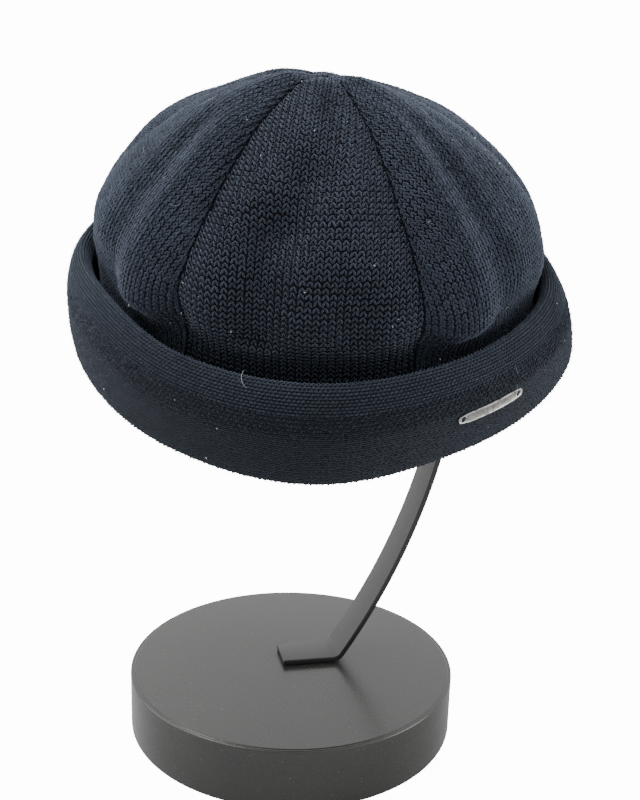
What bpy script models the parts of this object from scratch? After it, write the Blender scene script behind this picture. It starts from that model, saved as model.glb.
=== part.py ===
"""Knitted sailor cap with a turned-up cuff, on a round display stand.

Units are metres, +Z is up and the cap's front faces -Y.  The origin is the centre of the
base's underside.  Sizes below are in millimetres and are turned into metres by MM.
The cap is shaped in its own frame, whose origin is the centre of the cuff's lower edge,
and an empty tilts that frame forward on the stand.
"""

import math

import bmesh
import bpy
from mathutils import Vector

MM = 0.001
GAP = 0.3                      # clearance left between touching pieces

# ---- cap: place on the stand ------------------------------------------------------------
CAP_CENTRE = (6.7, 1.6, 181.5)
CAP_TILT = 19.2                # degrees, front edge down
CAP_ROLL = 0.7                 # degrees, right side down
CAP_TURN = -5.4                # degrees, how far the front section's middle turns to the left

# ---- crown ------------------------------------------------------------------------------
CROWN_RADIUS = 92.1            # at the widest level, outside
CROWN_WIDEST = 47.8            # height of that level above the cuff's lower edge
CROWN_HEIGHT = 113.5           # height of the top above the cuff's lower edge
CROWN_ROUNDNESS = 1.8          # exponent of the dome's section, 2 is an ellipse
CROWN_WALL = 3.0
CROWN_EDGE = 5.4               # height of the crown's lower edge above the cuff's
CROWN_LEAN = (-1.0, -2.9)      # how far the top stands from the middle, along X and Y
CROWN_BELLY = -1.8             # how far the half-way level stands along Y
CROWN_NECK = 2.5               # how far the wall draws in behind the cuff
CROWN_FLARE = 1.5              # exponent of the wall's way from the neck out to the lining
SECTIONS = 6
SEAM_DEPTH = 3.7               # how far the seams lie below the sections' middles
SEAM_GROOVE = 1.3              # extra depth of the narrow groove along each seam
SEAM_WIDTH = 4.5               # half width of that groove, in degrees
SEGMENTS = 72                  # divisions round the cap
DOME_RINGS = 15                # rings from the widest level to the top
WALL_RINGS = 5                 # rings from the widest level down to the edge

# Fullness of the crown round the widest level.  Directions are in degrees, counted from the
# middle of the front section towards +X.
CROWN_FULLNESS = (
    # direction, extra radius
    (0, -1.6), (30, -1.7), (60, -0.5), (90, 0.0), (120, -1.4), (150, -1.7),
    (180, -0.9), (210, 0.5), (240, 4.3), (270, 3.0), (300, -1.1), (330, -1.7),
)

# Creases (rise above 0) and dents (rise below 0) that run up the crown.  Directions are
# counted as above, low and high are levels from 0 at the widest ring to 90 at the top.
FOLD_FADE = 14.0               # levels over which a fold fades out at each end
CROWN_FOLDS = (
    # name, direction, low, high, half width in degrees, rise
    ("+X crease", 49.0, -12.0, 68.0, 7.0, 3.9),
    ("-X crease", -50.0, -12.0, 68.0, 7.0, 3.9),
    ("+X crease valley", 61.0, -12.0, 52.0, 6.0, -2.0),
    ("-X crease valley", -62.0, -12.0, 52.0, 6.0, -2.0),
    ("+X pleat", 38.0, -25.0, 24.0, 4.5, 1.6),
    ("-X pleat", -38.0, -25.0, 18.0, 4.5, 1.6),
    ("front dent", -8.0, -8.0, 54.0, 7.0, -2.0),
    ("upper front dent", 4.5, 42.0, 74.0, 8.0, -1.4),
    ("short front dent", 18.0, 8.0, 32.0, 6.0, -1.4),
    ("+X rear crease", 152.0, -10.0, 56.0, 11.0, 1.5),
    ("-X rear crease", -152.0, -10.0, 56.0, 11.0, 1.5),
    ("-X shoulder", -108.0, 34.0, 48.0, 12.0, 1.5),
    ("-X shoulder hollow", -121.0, 54.0, 71.0, 16.0, -3.0),
    ("+X shoulder hollow", 126.0, 56.0, 78.0, 18.0, -1.3),
    ("rear top hollow", 178.0, 58.0, 82.0, 24.0, -3.0),
    ("top bump", -128.0, 60.0, 88.0, 34.0, 2.0),
)

# ---- cuff -------------------------------------------------------------------------------
CUFF_LAYERS = 9.0              # thickness of the rolled-up layers of knit
CUFF_BULGE = 1.2               # how far the outer face stands out at its fullest

# Directions are in degrees, counted from +X towards +Y.
CUFF_SHAPE = (
    # direction, outer radius low, outer radius high, level of lower edge, level of top edge
    (0, 112.1, 98.8, 4.9, 40.4),
    (30, 107.9, 100.8, 1.7, 41.5),
    (60, 105.2, 102.2, 0.1, 42.7),
    (90, 104.9, 102.5, -0.1, 43.0),
    (120, 105.1, 102.5, 0.2, 42.8),
    (150, 105.4, 102.5, 1.0, 42.0),
    (180, 103.9, 102.1, 2.1, 42.0),
    (210, 101.9, 98.6, 2.0, 43.2),
    (240, 103.3, 100.4, 0.1, 38.0),
    (270, 105.8, 103.3, -1.0, 37.9),
    (300, 103.6, 102.5, 3.1, 41.2),
    (330, 106.4, 100.2, 5.5, 42.8),
)

# Section of the cuff, up the outside, over the roll, down the inside and under the fold.
CUFF_SECTION = (
    # depth in from the outer face, share of the cuff's height
    (-CUFF_BULGE, 0.38),
    (-CUFF_BULGE, 0.60),
    (-0.1, 0.80),
    (1.7, 0.93),
    (4.6, 1.0),
    (7.4, 0.945),
    (9.0, 0.82),
    (9.0, 0.52),
    (9.0, 0.24),
    (9.0, 0.095),
    (12.2, 0.095),
    (12.5, 0.05),
    (10.3, 0.0),
    (5.2, -0.01),
    (1.7, 0.02),
    (0.0, 0.14),
)

# ---- badge ------------------------------------------------------------------------------
BADGE_LENGTH = 29.8
BADGE_HEIGHT = 4.4
BADGE_THICKNESS = 0.9
BADGE_DIRECTION = -52.0        # degrees, counted from +X towards +Y
BADGE_LEVEL = 0.46             # share of the cuff's height
BADGE_HOLE = 2.2               # diameter
BADGE_HOLE_INSET = 2.1         # from each end to the middle of its hole
BADGE_STEPS = 24
DRILL_LENGTH = 6.0

# ---- stand ------------------------------------------------------------------------------
BASE_DIAMETER = 150.0
BASE_HEIGHT = 26.7
BASE_EDGE_ROUND = 0.9

ARM_WIDTH = 15.0
ARM_THICKNESS = 2.5
ARM_DIRECTION = 12.3           # degrees, counted from +X towards +Y
ARM_OFFSET = 2.8               # how far the bar's middle plane stands from the base's axis
ARM_FOOT_START = -5.0          # the foot's free end, along the arm's direction
ARM_BEND_RADIUS = 5.0          # middle line of the bend above the foot
ARM_ARC_RADIUS = 301.2         # middle line of the long arc
ARM_ARC_CENTRE = (-226.2, 200.0)
ARM_TIP_START = -11.0          # free end of the hidden run under the head rest

REST_RADIUS = 36.0
REST_DOME_RADIUS = 66.0
REST_RIM = 3.0                 # thickness at the rim
REST_TOP = 285.4               # height of the dome's top
REST_OFFSET = -6.0             # its middle along Y, from the base's axis


def smooth_step(value):
    """Return 0 below 0, 1 above 1 and an even S-curve between them."""
    value = min(max(value, 0.0), 1.0)
    return value * value * (3.0 - 2.0 * value)


def round_table(rows, column, degrees):
    """Read a closed table of evenly spaced directions with a smooth curve through its rows."""
    place = (degrees % 360.0) / 360.0 * len(rows)
    index = int(place)
    t = place - index
    a, b, c, d = (rows[(index + k) % len(rows)][column] for k in (-1, 0, 1, 2))
    return b + 0.5 * t * (c - a + t * (2 * a - 5 * b + 4 * c - d + t * (3 * (b - c) + d - a)))


def turn_between(a, b):
    """Return the signed angle from direction b to direction a, in degrees."""
    return (a - b + 180.0) % 360.0 - 180.0


def cuff_outer(direction, share):
    """Return radius and height of the cuff's outer face at a share of its height."""
    low, high, foot, top = (round_table(CUFF_SHAPE, column, direction) for column in (1, 2, 3, 4))
    return low + (high - low) * share, foot + (top - foot) * share


def fold_rise(section_direction, level):
    """Return how far the creases, dents and seam grooves lift the crown's surface."""
    off_seam = turn_between(SECTIONS * section_direction, 180.0) / SECTIONS / SEAM_WIDTH
    rise = -SEAM_GROOVE * math.exp(-off_seam * off_seam)
    for _name, direction, low, high, half_width, height in CROWN_FOLDS:
        side = turn_between(section_direction, direction) / half_width
        fade_in = smooth_step((level - low) / FOLD_FADE + 0.5)
        fade_out = smooth_step((high - level) / FOLD_FADE + 0.5)
        rise += height * math.exp(-side * side) * fade_in * fade_out
    return rise


def crown_point(section_direction, level):
    """Return a point of the crown's outer face in the cap's frame.

    The direction is counted from the middle of the front section, the level runs from
    -90 at the hidden lower edge over 0 at the widest ring to 90 at the top.
    """
    direction = section_direction - 90.0 + CAP_TURN
    fullness = round_table(CROWN_FULLNESS, 1, section_direction)
    seam = 0.5 - 0.5 * math.cos(math.radians(SECTIONS * section_direction))
    angle = math.radians(max(level, 0.0))
    across = math.cos(angle) ** (2.0 / CROWN_ROUNDNESS) if level < 90.0 else 0.0
    up = math.sin(angle) ** (2.0 / CROWN_ROUNDNESS)
    rise = fold_rise(section_direction, level) * math.cos(angle) ** 0.5 if across else 0.0
    rise -= SEAM_DEPTH * seam * math.sin(2.0 * angle)
    radius = CROWN_RADIUS * across + fullness * across ** 0.5 + rise * math.cos(angle)
    height = CROWN_WIDEST + (CROWN_HEIGHT - CROWN_WIDEST) * up + rise * math.sin(angle)
    if level < 0.0:
        drop = -level / 90.0
        foot, top = (round_table(CUFF_SHAPE, column, direction) for column in (3, 4))
        height = CROWN_WIDEST + (foot + CROWN_EDGE - CROWN_WIDEST) * drop
        share = (height - foot) / (top - foot)
        lining = cuff_outer(direction, share)[0] - CUFF_LAYERS - 2.0 * GAP
        radius = CROWN_RADIUS + fullness + rise * (1.0 - smooth_step(2.0 * drop))
        radius += (lining - radius) * smooth_step(drop) ** CROWN_FLARE
        radius -= CROWN_NECK * math.sin(math.pi * drop) ** 2
        if share < 1.0:
            radius = min(radius, lining)
    turn = math.radians(direction)
    belly = 4.0 * up * (1.0 - up)
    x = radius * math.cos(turn) + CROWN_LEAN[0] * up
    y = radius * math.sin(turn) + CROWN_LEAN[1] * up + CROWN_BELLY * belly
    return Vector((x, y, height)) * MM


def cuff_point(direction, depth, share):
    """Return a point of the cuff's section in the cap's frame."""
    radius, height = cuff_outer(direction, share)
    turn = math.radians(direction)
    radius -= depth
    return Vector((radius * math.cos(turn), radius * math.sin(turn), height)) * MM


def clear_scene():
    """Remove every object of the open scene."""
    for item in list(bpy.data.objects):
        bpy.data.objects.remove(item, do_unlink=True)


def make_material(name, colour, roughness, metallic=0.0):
    """Return a Principled material."""
    material = bpy.data.materials.new(name)
    material.use_nodes = True
    shader = material.node_tree.nodes["Principled BSDF"]
    shader.inputs["Base Color"].default_value = (*colour, 1.0)
    shader.inputs["Roughness"].default_value = roughness
    shader.inputs["Metallic"].default_value = metallic
    return material


def add_object(name, data, collection, material, parent=None):
    """Link data as a named object and give it its material."""
    item = bpy.data.objects.new(name, data)
    collection.objects.link(item)
    data.materials.clear()
    data.materials.append(material)
    item.parent = parent
    return item


def mesh_from_bmesh(name, bm):
    """Write a bmesh to a new smooth-shaded mesh."""
    bmesh.ops.recalc_face_normals(bm, faces=bm.faces)
    mesh = bpy.data.meshes.new(name)
    bm.to_mesh(mesh)
    bm.free()
    mesh.shade_smooth()
    mesh.set_sharp_from_angle(angle=math.radians(35))
    return mesh


def build_crown(collection, material, frame):
    """Shape a sphere's rings into the crown and give the open shell its wall."""
    bm = bmesh.new()
    bmesh.ops.create_uvsphere(bm, u_segments=SEGMENTS, v_segments=2 * DOME_RINGS, radius=1.0)
    ring_step = 90.0 / DOME_RINGS
    lowest = -WALL_RINGS * ring_step
    levels = {v: math.degrees(math.asin(min(max(v.co.z, -1.0), 1.0))) for v in bm.verts}
    below = [v for v, level in levels.items() if level < lowest - 0.5 * ring_step]
    bmesh.ops.delete(bm, geom=below, context="VERTS")
    for vert in bm.verts:
        level = levels[vert]
        if level < 0.0:
            level = level / lowest * -90.0
        vert.co = crown_point(math.degrees(math.atan2(vert.co.y, vert.co.x)), level)
    crown = add_object("crown", mesh_from_bmesh("crown", bm), collection, material, frame)
    wall = crown.modifiers.new("wall", "SOLIDIFY")
    wall.thickness = CROWN_WALL * MM
    wall.offset = -1.0
    wall.use_even_offset = True
    return crown


def build_cuff(collection, material, frame):
    """Shape a torus, ring by ring, into the turned-up cuff."""
    bpy.ops.mesh.primitive_torus_add(
        major_segments=SEGMENTS, minor_segments=len(CUFF_SECTION), major_radius=1.0, minor_radius=0.25)
    torus = bpy.context.object
    bm = bmesh.new()
    bm.from_mesh(torus.data)
    bpy.data.objects.remove(torus, do_unlink=True)
    for vert in bm.verts:
        direction = math.degrees(math.atan2(vert.co.y, vert.co.x))
        around = math.atan2(vert.co.z, math.hypot(vert.co.x, vert.co.y) - 1.0) / math.tau
        depth, share = CUFF_SECTION[round(around * len(CUFF_SECTION)) % len(CUFF_SECTION)]
        vert.co = cuff_point(direction, depth, share)
    return add_object("cuff", mesh_from_bmesh("cuff", bm), collection, material, frame)


def build_badge(collection, cutters, material, frame):
    """Bend a slim plate along the cuff and drill a stitch hole near each end."""
    radius = cuff_outer(BADGE_DIRECTION, BADGE_LEVEL)[0]
    degrees_per_mm = 360.0 / (math.tau * radius)

    def plate_point(along, up, out):
        direction = BADGE_DIRECTION + along * degrees_per_mm
        foot, top = (round_table(CUFF_SHAPE, column, direction) for column in (3, 4))
        share = BADGE_LEVEL + up / (top - foot)
        return cuff_point(direction, -(CUFF_BULGE + GAP + out), share)

    bm = bmesh.new()
    bmesh.ops.create_cube(bm, size=1.0)
    long_edges = [e for e in bm.edges if abs(e.verts[0].co.x - e.verts[1].co.x) > 0.5]
    bmesh.ops.subdivide_edges(bm, edges=long_edges, cuts=BADGE_STEPS - 1)
    for vert in bm.verts:
        along, out, up = vert.co
        vert.co = plate_point(along * BADGE_LENGTH, up * BADGE_HEIGHT, (0.5 - out) * BADGE_THICKNESS)
    badge = add_object("badge", mesh_from_bmesh("badge", bm), collection, material, frame)
    for side in (-1, 1):
        along = side * (BADGE_LENGTH / 2 - BADGE_HOLE_INSET)
        middle = plate_point(along, 0.0, BADGE_THICKNESS / 2)
        outward = plate_point(along, 0.0, BADGE_THICKNESS) - plate_point(along, 0.0, 0.0)
        hole = bmesh.new()
        bmesh.ops.create_cone(
            hole, cap_ends=True, segments=14, radius1=BADGE_HOLE / 2 * MM, radius2=BADGE_HOLE / 2 * MM,
            depth=DRILL_LENGTH * MM)
        drill = add_object(f"badge_drill_{side}", mesh_from_bmesh("drill", hole), cutters, material, frame)
        drill.location = middle
        drill.rotation_mode = "QUATERNION"
        drill.rotation_quaternion = outward.to_track_quat("Z", "Y")
        drill.hide_render = True
        drill.display_type = "WIRE"
        cut = badge.modifiers.new("stitch hole", "BOOLEAN")
        cut.operation = "DIFFERENCE"
        cut.solver = "EXACT"
        cut.object = drill
    return badge


def build_base(collection, material):
    """Make the round base with its small edge round."""
    bm = bmesh.new()
    bmesh.ops.create_cone(
        bm, cap_ends=True, segments=80, radius1=BASE_DIAMETER / 2 * MM, radius2=BASE_DIAMETER / 2 * MM,
        depth=BASE_HEIGHT * MM)
    base = add_object("stand_base", mesh_from_bmesh("stand_base", bm), collection, material)
    base.location.z = BASE_HEIGHT / 2 * MM
    edge = base.modifiers.new("edge round", "BEVEL")
    edge.width = BASE_EDGE_ROUND * MM
    edge.segments = 2
    edge.limit_method = "ANGLE"
    return base


def rest_underside():
    """Return the height of the head rest's flat underside."""
    sag = REST_DOME_RADIUS - math.sqrt(REST_DOME_RADIUS ** 2 - REST_RADIUS ** 2)
    return REST_TOP - sag - REST_RIM


def arc_points(centre, radius, start, end, steps):
    """Return points along an arc, angles in degrees."""
    angles = [math.radians(start + (end - start) * k / steps) for k in range(steps + 1)]
    return [(centre[0] + radius * math.cos(a), centre[1] + radius * math.sin(a)) for a in angles]


def arm_outline():
    """Return the closed side outline of the bent bar, along its direction and up."""
    half = ARM_THICKNESS / 2
    foot_line = BASE_HEIGHT + GAP + half
    tip_line = rest_underside() - GAP - half
    bend_height = foot_line + ARM_BEND_RADIUS - ARM_ARC_CENTRE[1]
    reach = math.sqrt((ARM_ARC_RADIUS - ARM_BEND_RADIUS) ** 2 - bend_height ** 2)
    bend_centre = (ARM_ARC_CENTRE[0] + reach, foot_line + ARM_BEND_RADIUS)
    meet = math.degrees(math.atan2(bend_height, reach))
    top_radius = tip_line - ARM_ARC_CENTRE[1]
    top_centre = (ARM_ARC_CENTRE[0] + ARM_ARC_RADIUS - top_radius, ARM_ARC_CENTRE[1])

    def side(shift):
        points = [(ARM_FOOT_START, foot_line - shift)]
        points += arc_points(bend_centre, ARM_BEND_RADIUS + shift, -90.0, meet, 6)
        points += arc_points(ARM_ARC_CENTRE, ARM_ARC_RADIUS + shift, meet, 0.0, 16)[1:]
        points += arc_points(top_centre, top_radius + shift, 0.0, 90.0, 14)[1:]
        return points + [(ARM_TIP_START, tip_line + shift)]

    return side(half) + side(-half)[::-1]


def build_arm(collection, material):
    """Extrude the arm's side outline to the width of the bar."""
    curve = bpy.data.curves.new("stand_arm", "CURVE")
    curve.dimensions = "2D"
    curve.fill_mode = "BOTH"
    curve.extrude = ARM_WIDTH / 2 * MM
    outline = arm_outline()
    spline = curve.splines.new("POLY")
    spline.points.add(len(outline) - 1)
    spline.use_cyclic_u = True
    for point, (along, up) in zip(spline.points, outline):
        point.co = (along * MM, up * MM, 0.0, 1.0)
    arm = add_object("stand_arm", curve, collection, material)
    turn = math.radians(ARM_DIRECTION)
    arm.rotation_euler = (math.pi / 2, 0.0, turn)
    arm.location = (-ARM_OFFSET * MM * math.sin(turn), ARM_OFFSET * MM * math.cos(turn), 0.0)
    return arm


def build_head_rest(collection, material):
    """Turn the domed disc that carries the cap."""
    underside = rest_underside()
    sag_angle = math.degrees(math.asin(REST_RADIUS / REST_DOME_RADIUS))
    dome = arc_points((0.0, REST_TOP - REST_DOME_RADIUS), REST_DOME_RADIUS, 90.0, 90.0 - sag_angle, 6)
    profile = [(0.0, REST_TOP)] + dome[1:] + [(REST_RADIUS, underside), (0.0, underside)]
    bm = bmesh.new()
    verts = [bm.verts.new((x * MM, 0.0, z * MM)) for x, z in profile]
    for first, second in zip(verts, verts[1:]):
        bm.edges.new((first, second))
    mesh = bpy.data.meshes.new("head_rest")
    bm.to_mesh(mesh)
    bm.free()
    rest = add_object("head_rest", mesh, collection, material)
    turned = rest.modifiers.new("turned", "SCREW")
    turned.steps = 40
    turned.render_steps = 40
    turned.use_merge_vertices = True
    turned.merge_threshold = 0.00001
    rest.location.y = REST_OFFSET * MM
    return rest


def main():
    """Build the cap and its stand."""
    clear_scene()
    parts = bpy.data.collections.new("sailor_cap_on_stand")
    cutters = bpy.data.collections.new("cutters")
    bpy.context.scene.collection.children.link(parts)
    bpy.context.scene.collection.children.link(cutters)

    knit = make_material("navy knit", (0.020, 0.026, 0.040), 0.95)
    silver = make_material("brushed silver", (0.72, 0.72, 0.70), 0.35, 1.0)
    grey_paint = make_material("dark grey paint", (0.055, 0.054, 0.052), 0.45)

    frame = bpy.data.objects.new("cap_frame", None)
    parts.objects.link(frame)
    frame.location = Vector(CAP_CENTRE) * MM
    frame.rotation_euler = (math.radians(CAP_TILT), math.radians(CAP_ROLL), 0.0)

    build_crown(parts, knit, frame)
    build_cuff(parts, knit, frame)
    build_badge(parts, cutters, silver, frame)
    build_base(parts, grey_paint)
    build_arm(parts, grey_paint)
    build_head_rest(parts, grey_paint)
    bpy.context.view_layer.update()


if __name__ == "__main__":
    main()
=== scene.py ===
"""Looks for a knitted sailor cap with a turned-up cuff, on its round display stand.

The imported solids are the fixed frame.  Crown, cuff, badge, bar, base and head rest get finer
surfaces and their finishes here, and each stitch of the knit is a small loop of yarn.
Sizes are in millimetres unless a name says otherwise, and MM turns them into metres.
"""

import logging
import math
from collections.abc import Callable
from dataclasses import dataclass, replace
from enum import Enum

import bmesh
import bpy
import numpy as np
from mathutils import Euler, Matrix, Vector


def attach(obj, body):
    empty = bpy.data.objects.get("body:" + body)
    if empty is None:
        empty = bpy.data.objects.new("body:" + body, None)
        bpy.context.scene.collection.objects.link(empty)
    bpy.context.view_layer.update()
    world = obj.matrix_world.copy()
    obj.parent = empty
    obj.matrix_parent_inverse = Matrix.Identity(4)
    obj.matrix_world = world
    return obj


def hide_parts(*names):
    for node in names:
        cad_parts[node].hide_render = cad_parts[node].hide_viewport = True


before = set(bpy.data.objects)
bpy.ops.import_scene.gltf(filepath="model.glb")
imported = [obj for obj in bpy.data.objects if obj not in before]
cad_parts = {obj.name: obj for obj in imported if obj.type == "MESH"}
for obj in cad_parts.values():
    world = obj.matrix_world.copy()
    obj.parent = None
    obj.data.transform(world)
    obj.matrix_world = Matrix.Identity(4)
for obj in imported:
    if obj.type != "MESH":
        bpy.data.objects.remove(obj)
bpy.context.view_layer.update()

MM = 0.001
BODY = "root"
POINT_NORMAL = "point_normal"     # attributes that the stitch tree reads
POINT_WALE = "point_wale"
POINT_SIZE = "point_size"
# the tone is a loop's random shade in the yarn, the badge's sunk field, and the bar's edges that get
# painted shade
TONE = "tone"                     # attribute that the finishes read
WOOL_SHEEN = (0.72, 0.80, 1.0, 1.0)
BLACK, WHITE = (0.0, 0.0, 0.0), (1.0, 1.0, 1.0)

Colour = tuple[float, float, float]
Waves = tuple[float, float, float]          # a noise's waves for each unit, layers and roughness
Span = tuple[float, float, float, float]    # low and high of a signal, and what they become
Pair = tuple[float, float]
Array = np.ndarray
Skin = Callable[[Array, Array], Array]      # points of a surface of two parameters

log = logging.getLogger("sailor_cap")


class Slot(Enum):
    """Material slots."""

    CROWN = "crown_knit"
    CUFF = "cuff_knit"
    BADGE = "badge_metal"
    STAND = "stand_paint"
    ARM = "arm_paint"
    REST = "rest_board"


# ---- node trees -------------------------------------------------------------------------


class Field:
    """A node's output socket whose arithmetic adds Math nodes to its tree."""

    def __init__(self, graph: "Graph", socket: bpy.types.NodeSocket) -> None:
        """Keep the socket and the graph that it belongs to."""
        self.graph = graph
        self.socket = socket

    def __add__(self, other: "Field | float") -> "Field":
        """Return self + other."""
        return self.graph.maths("ADD", self, other)

    def __radd__(self, other: float) -> "Field":
        """Return other + self."""
        return self.graph.maths("ADD", other, self)

    def __sub__(self, other: "Field | float") -> "Field":
        """Return self - other."""
        return self.graph.maths("SUBTRACT", self, other)

    def __rsub__(self, other: float) -> "Field":
        """Return other - self."""
        return self.graph.maths("SUBTRACT", other, self)

    def __mul__(self, other: "Field | float") -> "Field":
        """Return self * other."""
        return self.graph.maths("MULTIPLY", self, other)

    def __rmul__(self, other: float) -> "Field":
        """Return other * self."""
        return self.graph.maths("MULTIPLY", other, self)


class Graph:
    """Adds nodes to one node tree."""

    def __init__(self, tree: bpy.types.NodeTree) -> None:
        """Keep the tree."""
        self.tree = tree

    @staticmethod
    def pick(sockets: bpy.types.bpy_prop_collection, key: int | str) -> bpy.types.NodeSocket:
        """Find a shown socket.

        Args:
            sockets: a node's inputs or outputs.
            key: the socket's place among those shown, or its name.

        Returns:
            The socket.
        """
        shown = [socket for socket in sockets if socket.enabled]
        if isinstance(key, int):
            return shown[key]
        return next(socket for socket in shown if socket.name == key)

    def node(
        self,
        kind: str,
        settings: dict[str, object] | None = None,
        sockets: dict[int | str, object] | None = None,
        output: int | str = 0,
    ) -> Field:
        """Add one node.

        Args:
            kind: the node's type.
            settings: its properties, set first.
            sockets: values or fields for its inputs, by name or place.
            output: the output that is returned.

        Returns:
            The output as a field.
        """
        node = self.tree.nodes.new(kind)
        for name, value in (settings or {}).items():
            setattr(node, name, value)
        for key, value in (sockets or {}).items():
            self.feed(self.pick(node.inputs, key), value)
        return Field(self, self.pick(node.outputs, output))

    def feed(self, socket: bpy.types.NodeSocket, value: object) -> None:
        """Link a field to a socket, or set the socket's value.

        Args:
            socket: the input socket.
            value: the field or the value.
        """
        if isinstance(value, Field):
            self.tree.links.new(value.socket, socket)
        else:
            socket.default_value = value

    def maths(self, operation: str, *values: "Field | float") -> Field:
        """Return the result of one Math node on values in order."""
        return self.node("ShaderNodeMath", {"operation": operation}, dict(enumerate(values)))

    def part(self, vector: Field, axis: str) -> Field:
        """Return a vector's X, Y or Z."""
        return self.node("ShaderNodeSeparateXYZ", None, {"Vector": vector}, axis)

    def noise(self, vector: Field, waves: Waves) -> Field:
        """Return a noise pattern from 0 to 1 over the coordinates."""
        sockets = dict(zip(("Scale", "Detail", "Roughness"), waves))
        return self.node("ShaderNodeTexNoise", None, {"Vector": vector, **sockets})

    def spread(self, value: Field, span: Span) -> Field:
        """Return a signal mapped over a span and held at both of its ends."""
        sockets = dict(zip(("From Min", "From Max", "To Min", "To Max"), span))
        return self.node("ShaderNodeMapRange", None, {"Value": value, **sockets})

    def mix(self, factor: Field, first: "Field | Colour", second: "Field | Colour") -> Field:
        """Mix two colours.

        Args:
            factor: 0 gives the first colour, 1 the second.
            first: a colour or a field.
            second: a colour or a field.

        Returns:
            The mixed colour.
        """
        first, second = ((*c, 1.0) if isinstance(c, tuple) else c for c in (first, second))
        sockets = {"Factor": factor, "A": first, "B": second}
        return self.node("ShaderNodeMix", {"data_type": "RGBA"}, sockets)


class Surface:
    """One material on a Principled shader while it is being built."""

    def __init__(self, name: str, **constants: object) -> None:
        """Start a material and set the shader's constant sockets.

        Args:
            name: the material's name.
            constants: values of sockets, spelt with _ for each space.
        """
        self.material = bpy.data.materials.new(name)
        self.material.use_nodes = True
        tree = self.material.node_tree
        tree.nodes.clear()
        self.graph = Graph(tree)
        output = tree.nodes.new("ShaderNodeOutputMaterial")
        result = self.graph.node("ShaderNodeBsdfPrincipled")
        self.graph.feed(output.inputs["Surface"], result)
        self.shader = result.socket.node
        for key, value in constants.items():
            self.shader.inputs[key.replace("_", " ")].default_value = value

    def place(self) -> Field:
        """Return the object coordinates, in metres."""
        return self.graph.node("ShaderNodeTexCoord", output="Object")

    def tone(self) -> Field:
        """Return the tone that the mesh carries."""
        return self.graph.node("ShaderNodeAttribute", {"attribute_name": TONE}, output="Fac")

    def vary(self, socket: str, value: Field) -> None:
        """Link a varying signal to one of the shader's sockets."""
        self.graph.feed(self.shader.inputs[socket], value)

    def bump(self, height: Field, distance: float) -> None:
        """Bump the surface by a relief from 0 to 1, its depth in metres."""
        sockets = {"Strength": 1.0, "Distance": distance, "Height": height}
        self.vary("Normal", self.graph.node("ShaderNodeBump", None, sockets))


# ---- finishes ---------------------------------------------------------------------------


@dataclass(frozen=True)
class YarnFinish:
    """Dull wool yarn: mottled, heathered, a little lighter or darker from loop to loop."""

    name: str
    dark: Colour = (0.0132, 0.0182, 0.0280)
    light: Colour = (0.0362, 0.0474, 0.0690)
    fibre: Colour = (0.0800, 0.0980, 0.1280)
    sheen: float = 0.24
    sheen_roughness: float = 0.45
    specular: float = 0.22
    blotches: Waves = (45.0, 3.0, 0.55)
    mottle: Pair = (0.3, 0.7)
    tone_share: float = 0.45          # how much of the colour goes from loop to loop
    fibres: Waves = (2600.0, 3.0, 0.65)
    heather: Span = (0.56, 0.86, 0.0, 0.8)
    roughness: Span = (0.3, 0.7, 0.98, 0.80)
    relief: float = 0.00016           # metres

    def build(self) -> bpy.types.Material:
        """Make the material.

        Returns:
            The material.
        """
        surface = Surface(
            self.name, Sheen_Weight=self.sheen, Sheen_Roughness=self.sheen_roughness,
            Sheen_Tint=WOOL_SHEEN, Specular_IOR_Level=self.specular)
        graph, place = surface.graph, surface.place()
        blotch, fibre = graph.noise(place, self.blotches), graph.noise(place, self.fibres)
        share = graph.spread(blotch, (*self.mottle, 0.0, 1.0 - self.tone_share))
        colour = graph.mix(share + surface.tone() * self.tone_share, self.dark, self.light)
        surface.vary("Base Color", graph.mix(graph.spread(fibre, self.heather), colour, self.fibre))
        surface.vary("Roughness", graph.spread(fibre, self.roughness))
        surface.bump(fibre, self.relief)
        return surface.material


@dataclass(frozen=True)
class PaintedShadeGroundFinish:
    """The knit's ground behind the loops, with rows of small purl bumps, coloured far darker than the
    yarn as painted shade in the gaps between the loops.
    """

    name: str
    # painted shade: both colours are far darker than the yarn's, standing in for the shade in the gaps
    # between the loops
    dark: Colour = (0.0020, 0.0025, 0.0040)
    light: Colour = (0.0080, 0.0100, 0.0150)
    sheen: float = 0.12
    sheen_roughness: float = 0.5
    specular: float = 0.15
    roughness: float = 0.95
    fibres: Waves = (1900.0, 3.0, 0.6)
    rows_per_course: float = 2.0
    swing: float = 0.9                # how far a row of purl bumps waves, in radians
    row_share: float = 0.75           # of the relief, and the fibres have the rest
    relief: float = 0.0007            # metres

    def build(self) -> bpy.types.Material:
        """Make the material, whose UV map counts loops across and rows up.

        Returns:
            The material.
        """
        surface = Surface(
            self.name, Sheen_Weight=self.sheen, Sheen_Roughness=self.sheen_roughness,
            Sheen_Tint=WOOL_SHEEN, Specular_IOR_Level=self.specular, Roughness=self.roughness)
        graph = surface.graph
        counts = graph.node("ShaderNodeTexCoord", output="UV")
        wave = graph.maths("SINE", graph.part(counts, "X") * math.tau)
        turn = graph.part(counts, "Y") * (self.rows_per_course * math.tau) + wave * self.swing
        row = graph.maths("SINE", turn) * 0.5 + 0.5
        fibre = graph.noise(surface.place(), self.fibres)
        height = row * self.row_share + fibre * (1.0 - self.row_share)
        # painted shade: the colour follows the relief, darker in the hollows between the rows of bumps
        # and lighter on their tops, with some fibre grain
        surface.vary("Base Color", graph.mix(height, self.dark, self.light))
        surface.bump(height, self.relief)
        return surface.material


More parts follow.
